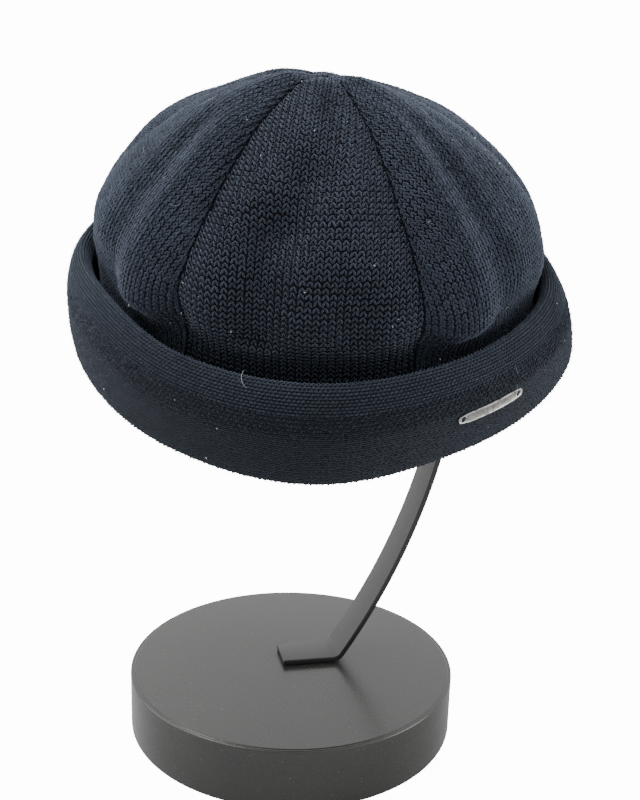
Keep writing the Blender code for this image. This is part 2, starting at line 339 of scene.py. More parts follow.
@dataclass(frozen=True)
class LintFinish:
    """Pale dust and stray hairs caught in the wool, some of them paler than others."""

    name: str
    dark: Colour = (0.30, 0.32, 0.36)
    light: Colour = (0.80, 0.80, 0.80)
    sheen: float = 0.3
    roughness: float = 0.9
    specular: float = 0.2

    def build(self) -> bpy.types.Material:
        """Make the material.

        Returns:
            The material.
        """
        surface = Surface(
            self.name, Sheen_Weight=self.sheen, Roughness=self.roughness,
            Specular_IOR_Level=self.specular)
        surface.vary("Base Color", surface.graph.mix(surface.tone(), self.dark, self.light))
        return surface.material


@dataclass(frozen=True)
class PaintFinish:
    """Satin paint with fine grain, faint blotches and small worn specks, and painted shade where the
    mesh's tone is 1.
    """

    name: str
    dark: Colour = (0.022, 0.022, 0.021)
    light: Colour = (0.031, 0.031, 0.029)
    speck: Colour = (0.080, 0.079, 0.076)
    # painted shade: the colour where the mesh's tone is 1, the bar's narrow edges
    edge: Colour = (0.010, 0.010, 0.011)
    clouds: Waves = (26.0, 4.0, 0.55)
    blotch: Span = (0.30, 0.70, 0.25, 0.75)
    grain: Waves = (1500.0, 2.0, 0.6)
    grain_share: float = 0.35
    specks: Waves = (620.0, 1.0, 0.5)
    speck_span: Span = (0.72, 0.78, 0.0, 0.6)
    roughness: float = 0.24
    grain_span: Pair = (0.2, 0.8)
    rougher: Pair = (-0.05, 0.06)     # what the grain adds to the roughness
    relief: float = 0.00001           # metres

    def build(self) -> bpy.types.Material:
        """Make the material.

        Returns:
            The material.
        """
        surface = Surface(self.name, Specular_IOR_Level=0.5)
        graph, place = surface.graph, surface.place()
        grain = graph.noise(place, self.grain)
        share = graph.spread(graph.noise(place, self.clouds), self.blotch)
        colour = graph.mix(share + (grain - 0.5) * self.grain_share, self.dark, self.light)
        specks = graph.spread(graph.noise(place, self.specks), self.speck_span)
        # painted shade: the tone mixes the dark edge colour in
        colour = graph.mix(surface.tone(), graph.mix(specks, colour, self.speck), self.edge)
        surface.vary("Base Color", colour)
        ends = [self.roughness + change for change in self.rougher]
        surface.vary("Roughness", graph.spread(grain, (*self.grain_span, *ends)))
        surface.bump(grain, self.relief)
        return surface.material


@dataclass(frozen=True)
class MetalFinish:
    """Pale brushed metal with a darker, smoother sunk field."""

    name: str
    direction: float                  # degrees from +X to the brushing
    dark: Colour = (0.10, 0.105, 0.095)
    light: Colour = (0.90, 0.89, 0.86)
    field: Colour = (0.26, 0.26, 0.245)
    line_size: Colour = (0.02, 0.0006, 0.0006)    # metres along, up and out
    lines: Waves = (1.0, 3.0, 0.6)
    smudges: Waves = (520.0, 3.0, 0.5)
    smudge_wear: Span = (0.38, 0.56, 0.25, 0.95)
    line_wear: Span = (0.3, 0.6, 0.75, 1.0)
    metallic: Span = (0.3, 0.6, 0.55, 0.75)
    field_metallic: float = 0.2       # what the field adds to that
    roughness: Span = (0.3, 0.7, 0.22, 0.46)
    relief: float = 0.00003           # metres

    def build(self) -> bpy.types.Material:
        """Make the material.

        Returns:
            The material.
        """
        surface = Surface(self.name)
        graph, place, sunk = surface.graph, surface.place(), surface.tone()
        brushed = graph.node("ShaderNodeMapping", {"vector_type": "TEXTURE"}, {
            "Vector": place, "Rotation": (0.0, 0.0, math.radians(self.direction)),
            "Scale": self.line_size})
        line, smudge = graph.noise(brushed, self.lines), graph.noise(place, self.smudges)
        wear = graph.spread(smudge, self.smudge_wear) * graph.spread(line, self.line_wear)
        bare = graph.mix(sunk, self.light, self.field)
        surface.vary("Base Color", graph.mix(wear, self.dark, bare))
        metallic = graph.spread(smudge, self.metallic) + sunk * self.field_metallic
        surface.vary("Metallic", metallic)
        surface.vary("Roughness", graph.spread(line, self.roughness))
        surface.bump(line, self.relief)
        return surface.material


@dataclass(frozen=True)
class FloorFinish:
    """Plain pale studio paper that the camera sees white."""

    name: str = "studio_paper"
    dark: Colour = (0.52, 0.52, 0.52)
    light: Colour = (0.5304, 0.5304, 0.5304)
    grain: Waves = (900.0, 2.0, 0.5)
    roughness: float = 0.9
    specular: float = 0.1
    glow: float = 13.0

    def build(self) -> bpy.types.Material:
        """Make the material.

        Returns:
            The material.
        """
        surface = Surface(
            self.name, Roughness=self.roughness, Specular_IOR_Level=self.specular,
            Emission_Strength=self.glow)
        graph = surface.graph
        grain = graph.noise(surface.place(), self.grain)
        surface.vary("Base Color", graph.mix(grain, self.dark, self.light))
        seen = graph.node("ShaderNodeLightPath", output="Is Camera Ray")
        surface.vary("Emission Color", graph.mix(seen, BLACK, WHITE))
        return surface.material


# ---- shared shapes ----------------------------------------------------------------------


def smooth_step(value: Array | float) -> Array:
    """Return 0 below 0, 1 above 1 and an even S-curve between them."""
    value = np.clip(value, 0.0, 1.0)
    return value * value * (3.0 - 2.0 * value)


def turn_between(first: Array, second: Array | float) -> Array:
    """Return the signed angle from the second direction to the first, in degrees."""
    return (first - second + 180.0) % 360.0 - 180.0


def even_turns(count: int) -> Array:
    """Return directions spaced evenly round a circle, in degrees."""
    return np.arange(count) * 360.0 / count


def unit(vectors: Array) -> Array:
    """Return vectors of length one."""
    return vectors / np.maximum(np.linalg.norm(vectors, axis=-1, keepdims=True), 1e-9)


def read_round(rows: tuple[tuple, ...], column: int, place: Array) -> Array:
    """Read a closed table with a smooth curve through its evenly spaced rows.

    Args:
        rows: the table.
        column: the column that is read.
        place: places along the table, in rows.

    Returns:
        The values there.
    """
    values = np.array([row[column] for row in rows], float)
    index = np.floor(place).astype(int)
    t = place - index
    a, b, c, d = (values[(index + k) % len(rows)] for k in (-1, 0, 1, 2))
    return b + 0.5 * t * (c - a + t * (2 * a - 5 * b + 4 * c - d + t * (3 * (b - c) + d - a)))


def arc_length(skin: Skin, direction: float, places: Array) -> Array:
    """Measure the way up a skin at one direction.

    Args:
        skin: the surface.
        direction: its first parameter.
        places: values of its second parameter.

    Returns:
        The length from the first place to each of them.
    """
    line = skin(np.full_like(places, direction), places)
    steps = np.linalg.norm(np.diff(line, axis=0), axis=1)
    return np.concatenate([[0.0], np.cumsum(steps)])


def add_object(name: str, data: bpy.types.ID) -> bpy.types.Object:
    """Put an object that holds the data into the scene.

    Args:
        name: its name.
        data: a mesh, a curve, a camera or a light.

    Returns:
        The object.
    """
    item = bpy.data.objects.new(name, data)
    bpy.context.scene.collection.objects.link(item)
    return item


def add_piece(
    name: str, points: Array, faces: list, material: bpy.types.Material, uvs: list | None = None,
) -> bpy.types.Object:
    """Make a smooth-shaded mesh object whose place is in its mesh.

    Args:
        name: the piece's name.
        points: vertices in metres.
        faces: vertex numbers of each face, counter-clockwise from outside.
        material: its material.
        uvs: a UV pair for each face corner.

    Returns:
        The object.
    """
    mesh = bpy.data.meshes.new(name)
    mesh.from_pydata(points, [], faces)
    if uvs is not None:
        layer = mesh.uv_layers.new(name="loops")
        layer.data.foreach_set("uv", np.asarray(uvs, np.float32).ravel())
    mesh.materials.append(material)
    mesh.shade_smooth()
    return add_object(name, mesh)


def made_plain(item: bpy.types.Object, every_layer: bool = False) -> bpy.types.Mesh:
    """Turn an object with modifiers, or a curve, into a plain mesh.

    Args:
        item: the object, which loses its modifiers.
        every_layer: whether attributes that its modifiers made are kept too.

    Returns:
        The mesh.
    """
    graph = bpy.context.evaluated_depsgraph_get()
    mesh = bpy.data.meshes.new_from_object(
        item.evaluated_get(graph), preserve_all_data_layers=every_layer, depsgraph=graph)
    item.modifiers.clear()
    return mesh


def mesh_of(bm: bmesh.types.BMesh, name: str, material: bpy.types.Material) -> bpy.types.Mesh:
    """Turn a bmesh into a mesh with a material.

    Args:
        bm: the bmesh, which is freed.
        name: the mesh's name.
        material: its material.

    Returns:
        The mesh.
    """
    mesh = bpy.data.meshes.new(name)
    bm.to_mesh(mesh)
    bm.free()
    mesh.materials.append(material)
    return mesh


def rest_on_frame(piece: bpy.types.Object, slot: Slot, *nodes: str) -> None:
    """Tie a finished piece to the frame and report it.

    Args:
        piece: the piece.
        slot: not used.
        nodes: the CAD nodes that it stands for.
    """
    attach(piece, BODY)
    if nodes:
        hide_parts(*nodes)
    triangles = sum(len(face.vertices) - 2 for face in piece.data.polygons)
    log.info("%s: %d triangles", piece.name, triangles)


def lathe(name: str, profile: list[Pair], segments: int, centre: Pair,
          material: bpy.types.Material) -> bpy.types.Object:
    """Turn a profile round an upright axis into a closed piece.

    Args:
        name: the piece's name.
        profile: radius and height pairs from the bottom's middle, round the outside, to the top's.
        segments: divisions round.
        centre: the axis' place.
        material: its material.

    Returns:
        The object.
    """
    turns = np.arange(segments) * math.tau / segments
    rings = [(r, z) for r, z in profile if r > 0.0]
    points = [
        (centre[0] + r * math.cos(a), centre[1] + r * math.sin(a), z) for r, z in rings for a in turns]
    pairs = [(k, (k + 1) % segments) for k in range(segments)]
    last = (len(rings) - 1) * segments
    faces = [
        (low + a, low + b, low + segments + b, low + segments + a)
        for low in range(0, last, segments) for a, b in pairs]
    bottom, top = len(points), len(points) + 1
    points += [(*centre, profile[0][1]), (*centre, profile[-1][1])]
    faces += [(bottom, b, a) for a, b in pairs] + [(top, last + a, last + b) for a, b in pairs]
    return add_piece(name, np.array(points) * MM, faces, material)


def arc(centre: Pair, radius: float, start: float, end: float, steps: int) -> list[Pair]:
    """Divide an arc evenly.

    Args:
        centre: the arc's middle.
        radius: its radius.
        start: first angle in degrees.
        end: last angle.
        steps: number of parts.

    Returns:
        The points, both ends included.
    """
    angles = [math.radians(start + (end - start) * k / steps) for k in range(steps + 1)]
    return [(centre[0] + radius * math.cos(a), centre[1] + radius * math.sin(a)) for a in angles]


# ---- the cap's form ---------------------------------------------------------------------


@dataclass
class Places:
    """Where loops lie: metres and unit vectors in the world."""

    points: Array
    normals: Array
    wales: Array
    sizes: Array


@dataclass(frozen=True)
class CapForm:
    """The cap's surfaces in its own frame, centred on the cuff's lower edge."""

    centre: tuple[float, float, float] = (6.7, 1.6, 181.5)
    tilt: float = 19.2                # degrees, front edge down
    roll: float = 0.7
    turn: float = -5.4                # degrees from the front to the front section's middle
    radius: float = 92.1
    widest: float = 47.8              # height of the widest ring
    height: float = 113.5
    roundness: float = 1.8            # exponent of the dome's section, 2 is an ellipse
    wall: float = 3.0
    edge: float = 5.4                 # height of the crown's edge above the cuff's
    lean: Pair = (-1.0, -2.9)         # how far the top stands off the middle
    belly: float = -1.8               # how far the half-way level does
    neck: float = 2.5                 # how far the foot draws in behind the cuff
    shade_neck: float = 4.8           # how much further it does at the front
    shade_rise: float = 0.66          # exponent that moves that towards the widest ring
    shade_sides: Pair = (40.0, 98.0)  # degrees from the front over which it ends
    flare: float = 1.5                # exponent of the foot's way out to the lining
    sections: int = 6
    seam_depth: float = 3.7
    seam_groove: float = 1.9
    seam_width: float = 3.2           # degrees
    side_seam: float = 0.30           # how much of its depth a seam at the cap's side keeps
    side_reach: Pair = (10.0, 30.0)   # degrees from the side over which that ends
    fold_fade: float = 14.0           # levels over which a fold ends
    top_lift: float = 5.0             # how much fuller the front sections' tops are than the solid's
    top_levels: tuple[float, float, float, float] = (34.0, 64.0, 76.0, 90.0)
    top_sides: Pair = (50.0, 110.0)
    gap: float = 0.3
    layers: float = 9.0               # thickness of the cuff
    bulge: float = 1.2
    crown_step: float = 0.2           # levels over which the crown's normals are measured
    cuff_step: float = 0.02           # rows over which the cuff's are
    fullness: tuple = (
        (0, -1.6), (30, -1.7), (60, -0.5), (90, 0.0), (120, -1.4), (150, -1.7),
        (180, -0.9), (210, 0.5), (240, 4.3), (270, 3.0), (300, -1.1), (330, -1.7),
    )
    folds: tuple = (
        # direction, low level, high level, half width in degrees, rise
        (41.5, -12.0, 66.0, 7.0, 2.7), (-42.5, -12.0, 62.0, 7.0, 2.2),
        (55.0, -12.0, 60.0, 7.0, -3.4), (-56.0, -12.0, 56.0, 7.0, -2.6),
        (38.0, -25.0, 24.0, 4.5, 0.9), (-38.0, -25.0, 18.0, 4.5, 0.9),
        (-30.0, -60.0, 6.0, 8.0, -4.5), (31.0, -60.0, 4.0, 7.0, -2.6),
        (68.0, -20.0, 62.0, 9.0, -1.6), (-84.0, -45.0, 12.0, 20.0, -2.6),
        (82.0, -45.0, 20.0, 18.0, -1.2), (-82.0, 14.0, 52.0, 22.0, -1.6),
        (-9.0, -8.0, 40.0, 6.5, -5.2), (-2.0, 30.0, 54.0, 6.5, -4.4),
        (6.0, 46.0, 72.0, 8.0, -3.4), (13.0, -4.0, 20.0, 5.0, -2.8),
        (-21.0, 2.0, 48.0, 6.0, 1.4), (16.0, 20.0, 56.0, 6.0, 1.6),
        (-64.0, -60.0, 8.0, 10.0, -2.6), (64.0, -60.0, 6.0, 9.0, -1.8),
        (-35.0, 34.0, 66.0, 5.0, 1.3), (152.0, -10.0, 56.0, 11.0, 1.5),
        (-152.0, -10.0, 56.0, 11.0, 1.5), (-108.0, 34.0, 48.0, 12.0, 1.5),
        (-121.0, 54.0, 71.0, 16.0, -3.0), (126.0, 56.0, 78.0, 18.0, -1.3),
        (178.0, 58.0, 82.0, 24.0, -3.0), (-128.0, 60.0, 88.0, 34.0, 2.0),
    )
    cuff_shape: tuple = (
        # direction, outer radius low, outer radius high, level of lower edge, level of top edge
        (0, 112.1, 98.8, 4.9, 40.4), (30, 107.9, 100.8, 1.7, 41.5), (60, 105.2, 102.2, 0.1, 42.7),
        (90, 104.9, 102.5, -0.1, 43.0), (120, 105.1, 102.5, 0.2, 42.8), (150, 105.4, 102.5, 1.0, 42.0),
        (180, 103.9, 102.1, 2.1, 42.0), (210, 101.9, 98.6, 2.0, 43.2), (240, 103.3, 100.4, 0.1, 38.0),
        (270, 105.8, 103.3, -1.0, 37.9), (300, 103.6, 102.5, 3.1, 41.2), (330, 106.4, 100.2, 5.5, 42.8),
    )
    cuff_section: tuple = (
        # depth in from the outer face, share of the cuff's height
        (-1.2, 0.38), (-1.2, 0.60), (-0.1, 0.80), (1.7, 0.93), (4.6, 1.0), (7.4, 0.945),
        (9.0, 0.82), (9.0, 0.52), (9.0, 0.24), (9.0, 0.095), (12.2, 0.095), (12.5, 0.05),
        (10.3, 0.0), (5.2, -0.01), (1.7, 0.02), (0.0, 0.14),
    )

    @property
    def sector(self) -> float:
        """Return how many degrees a section of the crown takes up."""
        return 360.0 / self.sections

    def turned(self) -> Array:
        """Return the rotation from the cap's frame to the world."""
        return np.array(Euler((math.radians(self.tilt), math.radians(self.roll), 0.0)).to_matrix())

    def place(self, points: Array) -> Array:
        """Return points of the cap's frame in the world, in metres."""
        return (points @ self.turned().T + np.array(self.centre)) * MM

    def lay(self, points: Array, normals: Array, wales: Array, sizes: Array) -> Places:
        """Return places that are given in the cap's frame."""
        return Places(self.place(points), normals @ self.turned().T, wales @ self.turned().T, sizes)

    def shape(self, column: int, direction: Array) -> Array:
        """Return one column of the cuff's shape table at a direction."""
        return read_round(self.cuff_shape, column, direction % 360.0 / 30.0)

    def cuff_outer(self, direction: Array, share: Array) -> tuple[Array, Array]:
        """Return radius and height of the cuff's outer face at a share of its height."""
        low, high, foot, top = (self.shape(column, direction) for column in (1, 2, 3, 4))
        return low + (high - low) * share, foot + (top - foot) * share

    def cuff_at(self, direction: Array, depth: Array, share: Array) -> Array:
        """Find points of the cuff.

        Args:
            direction: degrees from +X towards +Y.
            depth: depth in from the outer face.
            share: share of the cuff's height.

        Returns:
            Points in the cap's frame, coordinates last.
        """
        radius, height = self.cuff_outer(direction, share)
        turn = np.radians(direction)
        radius = radius - depth
        return np.stack([radius * np.cos(turn), radius * np.sin(turn), height], -1)

    def cuff(self, direction: Array, along: Array) -> Array:
        """Find points of the cuff's skin.

        Args:
            direction: degrees from +X towards +Y.
            along: place round its section, counted in the section's rows.

        Returns:
            Points in the cap's frame, coordinates last.
        """
        direction, along = np.broadcast_arrays(direction, along)
        depth, share = (read_round(self.cuff_section, column, along) for column in (0, 1))
        return self.cuff_at(direction, depth, share)

    @staticmethod
    def front_share(around: Array, sides: Pair) -> Array:
        """Tell how much of a change at the cap's front shows at a direction.

        Args:
            around: degrees from the middle of the front section.
            sides: how far to both sides it stays 1 and from where it is 0.

        Returns:
            The share.
        """
        near, far = sides
        return smooth_step((far - np.abs(turn_between(around, 0.0))) / (far - near))

    def seam_share(self, around: Array) -> Array:
        """Tell how much of a seam's depth shows, less at both sides of the cap.

        Args:
            around: degrees from the middle of the front section.

        Returns:
            The share.
        """
        near, far = self.side_reach
        beside = np.abs(np.abs(turn_between(around, 0.0)) - 90.0)
        return 1.0 - (1.0 - self.side_seam) * smooth_step((far - beside) / (far - near))

    def fold_rise(self, around: Array, level: Array) -> Array:
        """Add up the creases, dents and seam grooves.

        Args:
            around: degrees from the middle of the front section.
            level: the crown's level.

        Returns:
            How far they lift the crown.
        """
        off_seam = turn_between(self.sections * around, 180.0) / self.sections / self.seam_width
        rise = -self.seam_groove * self.seam_share(around) * np.exp(-off_seam * off_seam)
        for middle, low, high, half_width, height in self.folds:
            side = turn_between(around, middle) / half_width
            fade = smooth_step((level - low) / self.fold_fade + 0.5)
            fade = fade * smooth_step((high - level) / self.fold_fade + 0.5)
            rise = rise + height * np.exp(-side * side) * fade
        return rise

    def lift(self, around: Array, level: Array) -> Array:
        """Puff up the front sections' tops round the gathered middle.

        Args:
            around: degrees from the middle of the front section.
            level: the crown's level.

        Returns:
            The rise.
        """
        begin, full, turn, end = self.top_levels
        rise = smooth_step((level - begin) / (full - begin)) * smooth_step((end - level) / (end - turn))
        return self.top_lift * rise * self.front_share(around, self.top_sides)

    def dome(self, around: Array, level: Array, folds: Array) -> tuple[Array, Array, Array]:
        """Shape the crown above its widest ring.

        Args:
            around: degrees from the middle of the front section.
            level: the crown's level.
            folds: how far its folds lift it.

        Returns:
            Radius, height and the share of the dome's height.
        """
        seam = (0.5 - 0.5 * np.cos(np.radians(self.sections * around))) * self.seam_share(around)
        angle = np.radians(np.clip(level, 0.0, 90.0))
        cosine = np.clip(np.cos(angle), 0.0, 1.0)
        across = np.where(level < 90.0, cosine ** (2.0 / self.roundness), 0.0)
        up = np.sin(angle) ** (2.0 / self.roundness)
        rise = folds * np.sqrt(cosine) - self.seam_depth * seam * np.sin(2.0 * angle)
        fullness = read_round(self.fullness, 1, around % 360.0 / 30.0)
        radius = self.radius * across + fullness * np.sqrt(across) + rise * cosine
        height = self.widest + (self.height - self.widest) * up + rise * np.sin(angle)
        return radius, height + self.lift(around, level), up

    def foot(self, around: Array, level: Array, folds: Array) -> tuple[Array, Array]:
        """Shape the crown below its widest ring, drawn in behind the cuff.

        Args:
            around: degrees from the middle of the front section.
            level: the crown's level.
            folds: how far its folds lift it.

        Returns:
            Radius and height.
        """
        direction = around - 90.0 + self.turn
        drop = np.clip(-level / 90.0, 0.0, 1.0)
        foot, top = (self.shape(column, direction) for column in (3, 4))
        height = self.widest + (foot + self.edge - self.widest) * drop
        share = (height - foot) / (top - foot)
        lining = self.cuff_outer(direction, share)[0] - self.layers - 2.0 * self.gap
        fullness = read_round(self.fullness, 1, around % 360.0 / 30.0)
        radius = self.radius + fullness + folds * (1.0 - smooth_step(2.0 * drop))
        radius = radius + (lining - radius) * smooth_step(drop) ** self.flare
        radius = radius - self.neck * np.sin(math.pi * drop) ** 2
        shade = self.shade_neck * self.front_share(around, self.shade_sides)
        radius = radius - shade * np.sin(math.pi * drop ** self.shade_rise) ** 2
        return np.where(share < 1.0, np.minimum(radius, lining), radius), height

    def crown(self, around: Array, level: Array) -> Array:
        """Find points of the crown's outer face.

        Args:
            around: degrees from the middle of the front section.
            level: from -90 at the hidden lower edge over 0 at the widest ring to 90 at the top.

        Returns:
            Points in the cap's frame, coordinates last.
        """
        around, level = np.broadcast_arrays(around, level)
        folds = self.fold_rise(around, level)
        radius, height, up = self.dome(around, level, folds)
        low_radius, low_height = self.foot(around, level, folds)
        below = level < 0.0
        radius, height = np.where(below, low_radius, radius), np.where(below, low_height, height)
        turn = np.radians(around - 90.0 + self.turn)
        x = radius * np.cos(turn) + self.lean[0] * up
        y = radius * np.sin(turn) + self.lean[1] * up + self.belly * 4.0 * up * (1.0 - up)
        return np.stack([x, y, height], -1)

    @staticmethod
    def normals(skin: Skin, first: Array, second: Array, step: float) -> Array:
        """Measure the outward normals of a surface of the cap.

        Args:
            skin: the surface.
            first: the parameter that turns counter-clockwise seen from above.
            second: the parameter that runs up the outside.
            step: how far the second is moved to measure.

        Returns:
            Unit vectors in the cap's frame.
        """
        along = skin(first + 0.1, second) - skin(first - 0.1, second)
        up = skin(first, second + step) - skin(first, second - step)
        return unit(np.cross(along, up))


# ---- stitches ---------------------------------------------------------------------------


@dataclass(frozen=True)
class Loop:
    """One loop of yarn, an arch that lies on the knit and dives in at both feet."""

    width: float                      # between the feet
    height: float
    depth: float                      # how far the feet dive in
    yarn: float                       # diameter
    sides: int = 4
    steps: int = 4
    taper: float = 0.35               # how much thinner the feet are
    pinch: float = 0.12               # half width of the arch's head, as a share of its width
    waist: float = 0.0                # how much thinner the head is
    sag: float = 0.0                  # how far the head dips in between the legs
    slant: float = 0.0                # degrees
    roll: float = 0.0                 # degrees round the wale, one leg proud and one sunk
    turn_jitter: float = 7.0          # degrees
    size_jitter: float = 0.09

    def settings(self) -> dict[str, float | int]:
        """Name the inputs of the stitch tree that the loop decides.

        Returns:
            The value of each of them, lengths in metres and angles in radians.
        """
        return {
            "Width": self.width * MM, "Height": self.height * MM, "Depth": self.depth * MM,
            "Yarn": self.yarn * MM, "Sag": self.sag * MM, "Taper": self.taper, "Pinch": self.pinch,
            "Waist": self.waist, "Size Jitter": self.size_jitter, "Slant": math.radians(self.slant),
            "Roll": math.radians(self.roll), "Turn Jitter": math.radians(self.turn_jitter),
            "Sides": self.sides, "Steps": self.steps}


class StitchTree:
    """Geometry Nodes tree that lays one loop of yarn on every point of a mesh."""

    INPUTS = {
        "NodeSocketFloat": (
            "Width", "Height", "Depth", "Yarn", "Taper", "Pinch", "Waist", "Sag", "Slant", "Roll",
            "Turn Jitter", "Size Jitter"),
        "NodeSocketInt": ("Sides", "Steps", "Seed"),
        "NodeSocketMaterial": ("Material",),
    }
    RESOLUTION = 12                   # of the curve that the loop follows

    def __init__(self) -> None:
        """Build the tree."""
        self.tree = bpy.data.node_groups.new("stitches", "GeometryNodeTree")
        self.graph = Graph(self.tree)
        self.sockets = {}
        self.socket("Geometry", "NodeSocketGeometry", "INPUT")
        for kind, names in self.INPUTS.items():
            for name in names:
                self.sockets[name] = self.socket(name, kind, "INPUT")
        self.socket("Geometry", "NodeSocketGeometry", "OUTPUT")
        group = self.tree.nodes.new("NodeGroupInput")
        self.given = {socket.name: Field(self.graph, socket) for socket in group.outputs if socket.name}
        self.build()

    def socket(self, name: str, kind: str, side: str) -> str:
        """Add a socket to the tree's interface and return its identifier."""
        return self.tree.interface.new_socket(name, in_out=side, socket_type=kind).identifier

    def vector(self, x: Field | float, y: Field | float, z: Field | float) -> Field:
        """Return a vector of three values."""
        return self.graph.node("ShaderNodeCombineXYZ", None, {"X": x, "Y": y, "Z": z})

    def attribute(self, name: str, kind: str) -> Field:
        """Return a named attribute of the points."""
        return self.graph.node("GeometryNodeInputNamedAttribute", {"data_type": kind}, {"Name": name})

    def random(self, low: Field | float, high: Field | float, channel: int) -> Field:
        """Return a random value for each loop."""
        sockets = {"Min": low, "Max": high, "Seed": self.given["Seed"] + float(channel)}
        return self.graph.node("FunctionNodeRandomValue", {"data_type": "FLOAT"}, sockets)

    def yarn_loop(self) -> Field:
        """Build one loop in its own frame, X across, Y up the wale, Z outwards.

        Returns:
            Its geometry.
        """
        graph, given = self.graph, self.given
        half, rise, dive = given["Width"] * 0.5, given["Height"] * 0.5, given["Depth"]
        head, peak = given["Pinch"] * given["Width"], given["Height"] * (5.0 / 6.0)
        arch = graph.node("GeometryNodeCurvePrimitiveBezierSegment", {"mode": "POSITION"}, {
            "Resolution": self.RESOLUTION,
            "Start": self.vector(half * -1.0, rise * -1.0, dive * -1.0),
            "Start Handle": self.vector(head * -1.0, peak, dive),
            "End Handle": self.vector(head, peak, dive),
            "End": self.vector(half, rise * -1.0, dive * -1.0)})
        line = graph.node(
            "GeometryNodeResampleCurve", {"mode": "COUNT"},
            {"Curve": arch, "Count": given["Steps"] + 1.0})
        middle = graph.node("GeometryNodeSplineParameter") * 2.0 - 1.0
        head = graph.maths("MAXIMUM", 1.0 - 2.0 * graph.maths("ABSOLUTE", middle), 0.0)
        line = graph.node("GeometryNodeSetPosition", None, {
            "Geometry": line, "Offset": self.vector(0.0, 0.0, given["Sag"] * head * -1.0)})
        thickness = 1.0 - given["Taper"] * (middle * middle) - given["Waist"] * head
        ring = graph.node("GeometryNodeCurvePrimitiveCircle", {"mode": "RADIUS"}, {
            "Resolution": given["Sides"], "Radius": given["Yarn"] * 0.5})
        return graph.node("GeometryNodeCurveToMesh", None, {
            "Curve": line, "Profile Curve": ring, "Scale": thickness, "Fill Caps": True})

    def turned(self) -> Field:
        """Turn each loop onto the knit, with its own slant and jitter.

        Returns:
            The rotation.
        """
        graph, given = self.graph, self.given
        facing = graph.node(
            "FunctionNodeAxesToRotation", {"primary_axis": "Z", "secondary_axis": "Y"}, {
                "Primary Axis": self.attribute(POINT_NORMAL, "FLOAT_VECTOR"),
                "Secondary Axis": self.attribute(POINT_WALE, "FLOAT_VECTOR")})
        jitter = given["Turn Jitter"]
        x, y, z = (self.random(jitter * -1.0, jitter, channel) for channel in (1, 2, 3))
        turn = graph.node("FunctionNodeEulerToRotation", None, {
            "Euler": self.vector(x, given["Roll"] + y, given["Slant"] + z)})
        return graph.node(
            "FunctionNodeRotateRotation", {"rotation_space": "LOCAL"},
            {"Rotation": facing, "Rotate By": turn})

    def build(self) -> None:
        """Lay the loop on the points and finish the mesh."""
        graph, given = self.graph, self.given
        spread = given["Size Jitter"]
        size = self.random(1.0 - spread, 1.0 + spread, 4)
        across = size * self.attribute(POINT_SIZE, "FLOAT")
        laid = graph.node("GeometryNodeInstanceOnPoints", None, {
            "Points": given["Geometry"], "Instance": self.yarn_loop(), "Rotation": self.turned(),
            "Scale": self.vector(across, size, size)})
        toned = graph.node(
            "GeometryNodeStoreNamedAttribute", {"data_type": "FLOAT", "domain": "INSTANCE"},
            {"Geometry": laid, "Name": TONE, "Value": self.random(0.0, 1.0, 5)})
        real = graph.node("GeometryNodeRealizeInstances", None, {"Geometry": toned})
        smooth = graph.node("GeometryNodeSetShadeSmooth", None, {"Geometry": real})
        done = graph.node(
            "GeometryNodeSetMaterial", None, {"Geometry": smooth, "Material": given["Material"]})
        output = self.tree.nodes.new("NodeGroupOutput")
        graph.feed(output.inputs["Geometry"], done)

    def knit(self, name: str, places: Places, loop: Loop, seed: int, material: bpy.types.Material,
             slot: Slot) -> None:
        """Lay loops of one kind as a plain mesh object and tie it to the frame.

        Args:
            name: the piece's name.
            places: where they lie.
            loop: their sizes.
            seed: fixes what is random.
            material: their material.
            slot: the material slot, handed on to rest_on_frame.
        """
        mesh = bpy.data.meshes.new(name)
        mesh.from_pydata(places.points, [], [])
        layers = (
            (POINT_NORMAL, "FLOAT_VECTOR", "vector", places.normals),
            (POINT_WALE, "FLOAT_VECTOR", "vector", places.wales),
            (POINT_SIZE, "FLOAT", "value", places.sizes))
        for key, kind, field, values in layers:
            layer = mesh.attributes.new(key, kind, "POINT")
            layer.data.foreach_set(field, values.astype(np.float32).ravel())
        piece = add_object(name, mesh)
        modifier = piece.modifiers.new("stitches", "NODES")
        modifier.node_group = self.tree
        for key, value in (loop.settings() | {"Seed": seed, "Material": material}).items():
            modifier[self.sockets[key]] = value
        piece.data = made_plain(piece, every_layer=True)
        bpy.data.meshes.remove(mesh)
        piece.data.name = name
        for key, *_ in layers:
            if key in piece.data.attributes:
                piece.data.attributes.remove(piece.data.attributes[key])
        rest_on_frame(piece, slot)


